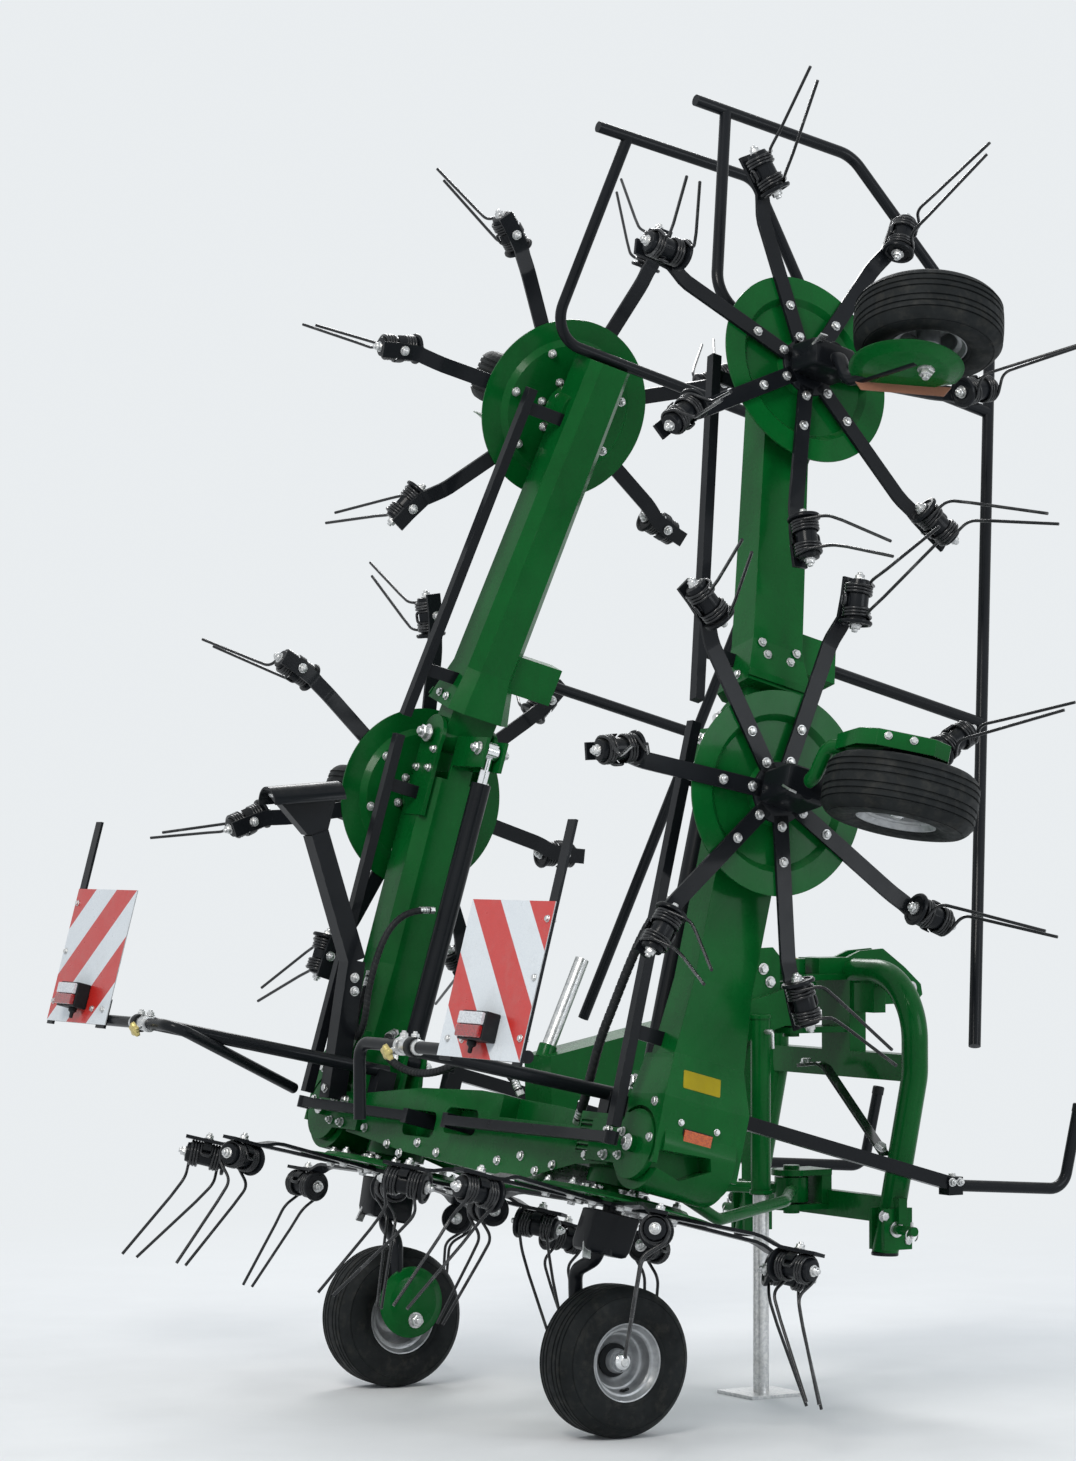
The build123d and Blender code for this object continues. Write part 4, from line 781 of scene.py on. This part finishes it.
# Lamps and the boards' fittings
for side, deck, inner, outer, rotors in sides():
    form = Form()
    form.block(deck, (1.179, -0.922, 0.12), (1.305, -0.8777, 0.197))
    form.block(deck, (1.184, -0.8765, 0.128), (1.3, -0.865, 0.189))
    cable_gland = [(0.013, 0), (0.013, 0.014), (0.006, 0.016), (0.006, 0.034)]
    form.lathe(facing(deck, 1.225, -0.9, 0.121, (0, 0, -1)), cable_gland, 16)
    glass = Form()
    glass.block(deck, (1.183, -0.9345, 0.125), (1.301, -0.9205, 0.1575))
    glass.block(deck, (1.183, -0.9345, 0.1585), (1.301, -0.9205, 0.192), 1)
    housing = piece(f"lamp_housing_{side}", form, [RUBBER_BLACK], "frame", 36, 0.006)
    lenses = piece(f"lamp_lens_{side}", glass, [LENS_RED, LENS_CLEAR], "frame", 36, 0.004)
    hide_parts("rear_lamps")
    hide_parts("rear_lamps")

    form = Form()
    heads = [(1.425, 0.14), (1.425, 0.455), (1.06, 0.125), (1.425, 0.3), (1.135, 0.125)]
    form.bolts(deck, [(x, -0.8777, z) for x, z in heads], (0, -1, 0), 0.009)
    form.bolts(deck, [(x, -0.8665, z) for x, z in heads[:3]], (0, 1, 0), 0.009, nut=True)
    along = facing(deck, 0.77, -0.8505, 0.0985, (1, 0, 0))
    form.lathe(along, [(0.0185, 0), (0.0255, 0.002), (0.0255, 0.016), (0.0185, 0.018)], 28)
    form.lathe(along, [(0.0205, 0.02), (0.0215, 0.024), (0.0215, 0.052), (0.0205, 0.056)], 28)
    form.lathe(along, [(0.0265, 0.058), (0.0275, 0.06), (0.0275, 0.082), (0.0265, 0.084)], 28, 1)
    form.lathe(along, [(0.0205, 0.086), (0.0215, 0.088), (0.0215, 0.104), (0.02, 0.108)], 28)
    form.bolts(deck, [(x, -0.8505, 0.122) for x in (0.778, 0.84)], (0, -0.25, 1), 0.013, nut=True)
    knob = facing(deck, 0.779, -0.876, 0.082, (0, -0.8, -0.6))
    lobes = []
    for step in range(40):
        turn = tau * step / 40
        radius = 0.0205 + 0.0035 * cos(5 * turn)
        lobes.append((radius * cos(turn), radius * sin(turn)))
    levels = ((0.7, 0.01), (1.0, 0.013), (1.0, 0.023), (0.8, 0.027), (0.3, 0.029))
    form.loft(knob, [[(x * grow, y * grow, height) for x, y in lobes] for grow, height in levels], 2)
    form.lathe(knob, [(0.007, -0.012), (0.007, 0.011)], 16)
    piece(f"board_fittings_{side}", form, [ZINC, RUBBER_BLACK, YELLOW_ZINC], "frame")

# Bolts and pins on the beams
for side, deck, inner, outer, rotors in sides():
    form = Form()
    pin = [(0.0235, -0.0005), (0.0235, 0.002), (0.0215, 0.004), (0.0125, 0.004), (0.011, 0.002)]
    for face in (-1, 1):
        form.lathe(facing(deck, HINGE_X, face * 0.161, 0, (0, face, 0)), pin, 32)
    form.cheek_bolts(deck, 0.1632, [(HINGE_X, 0)], 0.015, nut=False)
    form.cheek_bolts(deck, 0.143, [(HINGE_X - 0.062, 0.03), (HINGE_X - 0.058, -0.036)], 0.012)
    form.cheek_bolts(deck, 0.143, [(HINGE_X - 0.13, -0.04), (HINGE_X - 0.13, 0.03)], 0.014)
    rear = ((0.177, -0.092), (0.395, -0.108), (0.64, -0.045), (0.3, -0.07), (0.48, -0.085))
    form.bolts(deck, [(x, -0.125, z) for x, z in rear], (0, -1, 0), 0.013)
    form.gearbox_bolts(deck, 1, -0.118)
    form.bolt(facing(deck, 0.69, 0.052, 0.185, (0, 1, 0)), 0.02, nut=True)
    form.bolt(facing(deck, 0.69, -0.052, 0.185, (0, -1, 0)), 0.02)
    piece(f"beam_bolts_{side}", form, [ZINC], "frame")

    form = Form()
    form.cheek_bolts(inner, 0.116, [(INNER_LENGTH, 0)], 0.026)
    form.cheek_bolts(inner, 0.102, [(1.105, 0.036), (1.105, -0.04), (1.165, 0.04)], 0.012)
    form.cheek_bolts(inner, 0.039, [(1.19, 0.205)], 0.02)
    form.cheek_bolts(inner, 0.142, [(0.02, -0.078), (0.12, -0.07)], 0.012, nut=False)
    form.gearbox_bolts(inner, 2, -0.076)
    piece(f"inner_beam_bolts_{side}", form, [ZINC], f"inner_wing_{side}")

    form = Form()
    root = ((0.198, -0.04), (0.198, 0.04), (0.23, -0.06), (0.23, 0.06))
    form.bolts(outer, [(x, y, -0.082) for x, y in root], (0, 0, -1), 0.012)
    form.cheek_bolts(outer, 0.108, [(0.13, 0.01), (0.13, -0.04)], 0.012, nut=False)
    flange = [(0.11, -0.114), (0.11, 0.114), (0.132, 0.108), (0.132, -0.108)]
    form.prism(outer, flange, -0.1005, -0.0955, 1)
    form.gearbox_bolts(outer, 3, -0.076)
    piece(f"outer_beam_bolts_{side}", form, [ZINC, GREEN], f"outer_wing_{side}")

# Grille and plates
form = Form()
form.block(DECK, (0.59, -0.1268, -0.034), (0.715, -0.1245, 0.054), 1)
for step in range(6):
    low = -0.03 + step * 0.0145
    outline = [(-0.1345, low), (-0.1325, low - 0.001), (-0.1255, low + 0.0095), (-0.1265, low + 0.0115)]
    form.loft(DECK, [[(x, y, z) for y, z in outline] for x in (0.592, 0.713)])
uprights = ((0.584, 0.591, -0.04, 0.06), (0.714, 0.721, -0.04, 0.06))
for left, right, low, high in (*uprights, (0.591, 0.714, 0.054, 0.06), (0.591, 0.714, -0.04, -0.034)):
    form.block(DECK, (left, -0.1325, low), (right, -0.1245, high))
piece("beam_grille", form, [GREEN, BLACK], "frame")

form = Form()
cheek = INNER.moved(z=-0.112).folded(0.14, atan2(0.032, 0.122))
form.prism(cheek, soft_box((0.036, -0.081), (0.08, 0.036), 0.004), -0.0011, -0.0003)
piece("blank_yellow_plate", form, [YELLOW], "inner_wing_right")

form = Form()
form.block(INNER, (0.023, -0.063, -0.1145), (0.063, 0.035, -0.1119), 1)
form.block(INNER, (0.026, -0.06, -0.1185), (0.06, 0.032, -0.1142))
form.bolts(INNER, [(0.076, y, -0.112) for y in (-0.074, 0.046)], (0, 0, -1), 0.009, 2)
piece("side_reflector", form, [ORANGE_LENS, RUBBER_BLACK, ZINC], "inner_wing_right", 36, 0.002)

# Headstock details
form = Form()
strut = [(-0.06, 1.078, 0.972), (0.03, 1.085, 0.982), (0.06, 1.088, 0.972), (0.345, 1.103, 0.722)]
form.bar(LEVEL, strut, 0.034, 0.01, 3)
form.bolt(facing(LEVEL, -0.035, 1.08, 0.98, (0, 0, 1)), 0.018, 1)
form.bolt(facing(LEVEL, 0.33, 1.098, 0.742, (0.6, 0, 0.7)), 0.018, 1)
top_link = ((1.188, 1.254), (1.241, 1.279), (1.373, 1.244), (1.3, 1.19), (1.215, 1.188))
form.bolts(LEVEL, [(0.038, y, z) for y, z in top_link], (1, 0, 0), 0.015, 1)
form.bolts(LEVEL, [(-0.038, y, z) for y, z in top_link], (-1, 0, 0), 0.015, 1, nut=True)
for x in (-0.038, 0.038):
    bush = facing(LEVEL, x, 1.422, 1.206, (x, 0, 0))
    form.ring(bush, [(0.0135, 0), (0.022, 0), (0.022, 0.004), (0.0205, 0.006), (0.0135, 0.006)], 32, 1)
swivel = facing(LEVEL, 0, 1.0, 1.293, (0, 0, 1))
form.lathe(swivel, [(0.0235, 0), (0.0235, 0.007), (0.021, 0.011), (0.01, 0.0135)], 32, 2)
for end in (-1, 1):
    collar = facing(LEVEL, end * 0.411, 1.095, 0.505, (end, 0, 0))
    form.ring(collar, [(0.0142, 0), (0.024, 0), (0.024, 0.007), (0.0142, 0.007)], 32, 1)
    linch_pin = LEVEL.moved(end * 0.492, 1.095, 0.505)
    loop = [linch_pin.at(end * 0.1 * y, y, z - 0.012) for z, y in arc(0.02, -150, 300, 32)]
    form.wire(loop, 0.0022, 8, 1)
    form.wire([linch_pin.at(z=z) for z in (-0.022, 0.0, 0.027)], 0.0045, 10, 1)
    form.bolts(LEVEL, [(end * 0.404, 1.055, 0.545), (end * 0.404, 1.14, 0.47)], (end, 0, 0), 0.016, 1)
    foot = facing(LEVEL, end * 0.37, 1.084, 0.43, (0, -0.04, -1))
    form.lathe(foot, [(0.041, -0.004), (0.041, 0.004), (0.038, 0.006)], 36)
piece("headstock_fittings", form, [BLACK, ZINC, YELLOW, POLISHED], "headstock", 38, 0.0015)

form = Form()
for end in (-1, 1):
    clamp = LEVEL.moved(end * 0.52, 1.222, 0.638)
    form.block(clamp, (-0.026, -0.03, -0.027), (0.026, 0.022, 0.027))
    form.bolts(clamp, [(end * 0.026, y, 0.012) for y in (-0.018, 0.01)], (end, 0, 0), 0.012, 1, nut=True)
    form.bolt(facing(clamp, 0, 0, 0.027, (0, 0, 1)), 0.012, 1)
    tip = facing(LEVEL, end * 0.52, 1.7, 0.86, (0, 0.23, 0.97))
    form.lathe(tip, [(0.0182, -0.022), (0.019, -0.02), (0.019, 0.002), (0.0165, 0.005)], 28, 2)
piece("front_bar_fittings", form, [BLACK, ZINC, RUBBER_BLACK], "frame", 38, 0.002)

# Drawbar, stand, cradle and guard fittings
form = Form()
for x in (-0.0555, 0.0555):
    form.bolts(LEVEL, [(x, 0.86, 1.275), (x, 0.885, 1.235)], (x, 0, 0), 0.016, 1)
pin = facing(LEVEL, 0.155, 0.812, 1.09, (1, 0, 0))
form.lathe(pin, [(0.008, -0.014), (0.008, 0.012), (0.006, 0.016)], 16, 1)
handle = [LEVEL.at(x, 0.812, z) for x, z in ((0.16, 1.09), (0.176, 1.09), (0.178, 1.04))]
form.wire(rounded(handle, 0.01), 0.005, 10, 1)
sleeve = facing(LEVEL, 0.112, 0.812, 1.128, (0, 0, 1))
form.ring(sleeve, [(0.025, 0), (0.0345, 0), (0.0345, 0.01), (0.032, 0.013), (0.025, 0.013)], 36)
foot = facing(LEVEL, 0.112, 0.812, 0.602, (0, 0, 1))
form.ring(foot, [(0.025, 0.0005), (0.0345, 0.0005), (0.0345, 0.012), (0.025, 0.012)], 36)
socket = facing(LEVEL, 0, 0.12, 1.028, (0, 0.365, 0.931))
form.ring(socket, [(0.0215, -0.006), (0.0275, -0.006), (0.0275, 0.032), (0.0262, 0.035), (0.0215, 0.035)], 36)
piece("drawbar_fittings", form, [GREEN, ZINC], "frame")

form = Form()
post = DECK.moved(-0.8, 0, 0)
form.bolts(post, [(0, -0.448, 0.927), (0, -0.612, 0.867)], (0, 0.33, 0.94), 0.015)
foot_bolts = ((-0.21, 0.4), (-0.2, 0.36))
form.bolts(post, [(0.03, y, z) for y, z in foot_bolts], (1, 0, 0), 0.014, nut=True)
form.bolts(post, [(-0.03, y, z) for y, z in foot_bolts], (-1, 0, 0), 0.014)
form.bolts(post, [(0, -0.2033, z) for z in (0.0, 0.052)], (0, -1, 0), 0.014)
piece("cradle_bolts", form, [ZINC], "frame")


# Hoses, each a spiral-wrapped tube on its own smooth route
def route(name, points):
    """Smooth NURBS line through chosen control points, read back as close points."""
    curve = bpy.data.curves.new(name, "CURVE")
    curve.dimensions = "3D"
    curve.resolution_u = 24
    spline = curve.splines.new("NURBS")
    spline.points.add(len(points) - 1)
    for control, point in zip(spline.points, points):
        control.co = (*point, 1)
    spline.order_u = 3
    spline.use_endpoint_u = True
    thing = new_object(name, curve)
    bpy.context.view_layer.update()
    line = bpy.data.meshes.new_from_object(thing)
    path = [vertex.co.copy() for vertex in line.vertices]
    bpy.data.objects.remove(thing)
    bpy.data.meshes.remove(line)
    return path


def even(path, pitch):
    """The same line as points a set distance apart."""
    spots = [path[0]]
    left = pitch
    for before, after in zip(path, path[1:]):
        span = (after - before).length
        while span >= left > 0:
            before = before.lerp(after, left / span)
            spots.append(before)
            span = (after - before).length
            left = pitch
        left -= span
    spots.append(path[-1])
    return spots


def wrapped(form, path, radius):
    """Tube with the flat turns of a spiral wrap standing a little proud of each other."""
    pitch = radius * 1.5
    count = 20
    rings = []
    for index, (spot, side, up) in enumerate(carried(even(path, pitch / 9))):
        ring = []
        for step in range(count):
            phase = (index / 9 + step / count) % 1
            grown = radius - (0.0018 if phase < 0.16 else 0.0009 * (1 - phase))
            turn = tau * step / count
            ring.append(tuple(spot + (side * cos(turn) + up * sin(turn)) * grown))
        rings.append(ring)
    form.loft(WORLD, rings)


def ferrule(form, place, radius, length):
    """Crimped hose end with its hexagon nut, standing on z = 0 and taking the hose at its top."""
    low = length * 0.32
    form.prism(place, circle(radius * 1.1, 6), 0, low)
    profile = [(radius * 0.8, low), (radius * 0.8, low + 0.004), (radius * 1.08, low + 0.005)]
    for step in range(3):
        base = low + 0.006 + step * (length - low - 0.008) / 3
        profile += [(radius * 1.08, base), (radius * 0.99, base + 0.002), (radius * 1.08, base + 0.004)]
    profile.append((radius * 1.02, length))
    form.lathe(place, profile, 20)


def hose(name, place, radius, controls, other=None):
    """A wrapped hose with a ferrule at each end and its real length; its upper ferrule may ride on another
    body.
    """
    points = [place.at(*control) for control in controls]
    path = route(name + "_route", points)
    form = Form()
    wrapped(form, path, radius)
    made = piece(name, form, [HOSE], "frame", 60)
    for label, spots, carrier in (("lower_end", path, "frame"), ("upper_end", path[::-1], other or "frame")):
        look = (spots[2] - spots[0]).normalized()
        fitting = Form()
        ferrule(fitting, facing(WORLD, *(spots[0] - look * 0.014), look), radius * 0.95, 0.05)
        piece(f"{name}_{label}", fitting, [ZINC], carrier)
    if other:
        world = made.matrix_world.copy()
        made.parent = None
        made.matrix_world = world
        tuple(points[1])
        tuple(points[-2])
        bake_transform(made)
    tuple(points[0])


hose("wing_hose_right", DECK, 0.014, (
    (0.47, -0.07, 0.06), (0.505, -0.085, 0.11), (0.572, -0.125, 0.172), (0.6, -0.138, 0.28),
    (0.62, -0.132, 0.38), (0.645, -0.128, 0.49), (0.665, -0.118, 0.588), (0.668, -0.09, 0.665),
    (0.664, -0.062, 0.7)), "cylinder_right")
hose("beam_hose", DECK, 0.0125, (
    (-0.72, -0.06, 0.262), (-0.69, -0.1, 0.24), (-0.618, -0.13, 0.185), (-0.5, -0.132, 0.146),
    (-0.367, -0.13, 0.134), (-0.24, -0.13, 0.152), (-0.149, -0.128, 0.19), (-0.06, -0.105, 0.205),
    (0.01, -0.045, 0.175), (0.03, -0.02, 0.13)))
hose("wing_hose_left", DECK.mirrored(), 0.011, (
    (0.872, -0.108, 0.43), (0.8715, -0.11, 0.35), (0.871, -0.115, 0.29), (0.836, -0.13, 0.241),
    (0.779, -0.149, 0.223), (0.722, -0.17, 0.241), (0.687, -0.187, 0.29), (0.685, -0.199, 0.367),
    (0.683, -0.198, 0.48), (0.678, -0.18, 0.575), (0.668, -0.125, 0.64), (0.667, -0.062, 0.655)),
    "cylinder_left")


# Floor, world, lamps and camera
BACKDROP = (0.82, 0.85, 0.87)


def seen_directly(tree):
    """1 for the rays that show the background: from the camera, off gloss and through glass."""
    path = add(tree, "LightPath").outputs
    first = maths(tree, "MAXIMUM", path["Is Camera Ray"], path["Is Glossy Ray"])
    return maths(tree, "MAXIMUM", first, path["Is Transmission Ray"])


def floor_material():
    """Pale floor that keeps the machine's shadow and fades to the background's white away from it."""
    material, tree, shader = new_material("pale_floor")
    feed(tree, shader, {"Base Color": mottle(tree, 3.0, 3.0, (0.3, 0.8), (0.7, 0.83)), "Roughness": 0.9})
    spot = add(tree, "TexCoord").outputs["Object"]
    distance = add(tree, "VectorMath", {0: spot}, operation="LENGTH").outputs["Value"]
    fade = ramp(tree, maths(tree, "DIVIDE", distance, 10.0), [(0.22, 0), (0.62, 1)])
    glow = add(tree, "Emission", {"Color": BACKDROP, "Strength": 1.0})
    factor = product(tree, fade, seen_directly(tree))
    blend = add(tree, "MixShader", {0: factor, 1: shader.outputs["BSDF"], 2: glow.outputs["Emission"]})
    tree.links.new(blend.outputs["Shader"], tree.nodes["Material Output"].inputs["Surface"])
    return material


floor_mesh = bpy.data.meshes.new("floor")
floor_mesh.from_pydata([(-60, -60, 0), (60, -60, 0), (60, 60, 0), (-60, 60, 0)], [], [(0, 1, 2, 3)])
floor_mesh.materials.append(floor_material())
new_object("floor", floor_mesh)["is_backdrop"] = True

world = bpy.data.worlds.new("studio")
world.use_nodes = True
bpy.context.scene.world = world
tree = world.node_tree
ambient = tree.nodes["Background"]
feed(tree, ambient, {"Color": (0.84, 0.92, 1.0), "Strength": 0.62})
backdrop = add(tree, "Background", {"Color": BACKDROP, "Strength": 1.0})
choice = add(tree, "MixShader", {0: seen_directly(tree), 1: ambient.outputs[0], 2: backdrop.outputs[0]})
tree.links.new(choice.outputs["Shader"], tree.nodes["World Output"].inputs["Surface"])


def area_light(name, place, target, size, energy, colour=(1, 1, 1)):
    """Soft square lamp aimed at a point."""
    data = bpy.data.lights.new(name, "AREA")
    data.size = size
    data.energy = energy
    data.color = colour
    lamp = new_object(name, data)
    lamp.location = place
    lamp.rotation_euler = (Vector(target) - Vector(place)).to_track_quat("-Z", "Y").to_euler()


area_light("key", (5.0, -7.0, 8.5), (0, 0, 1.6), 3.5, 560, (1.0, 0.97, 0.92))
area_light("fill", (8.5, 3.5, 4.0), (0, 0, 1.6), 4.0, 180, (0.92, 0.96, 1.0))
area_light("rim", (-6.5, 3.5, 7.0), (0, 0, 1.8), 3.0, 300)

camera_data = bpy.data.cameras.new("camera")
camera_data.sensor_fit = "VERTICAL"
camera_data.sensor_height = 24
camera_data.lens = 69.42
camera = new_object("camera", camera_data)
camera.location = (10.688, -6.33 + CENTRE_Y, 1.682)
camera.rotation_euler = (radians(91.41), 0, radians(58.98))
bpy.context.scene.camera = camera
bpy.context.scene.view_settings.view_transform = "Standard"

boxes = {"cad": cad_box, "visual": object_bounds()}
{name: [list(corner) for corner in box] for name, box in boxes.items()}
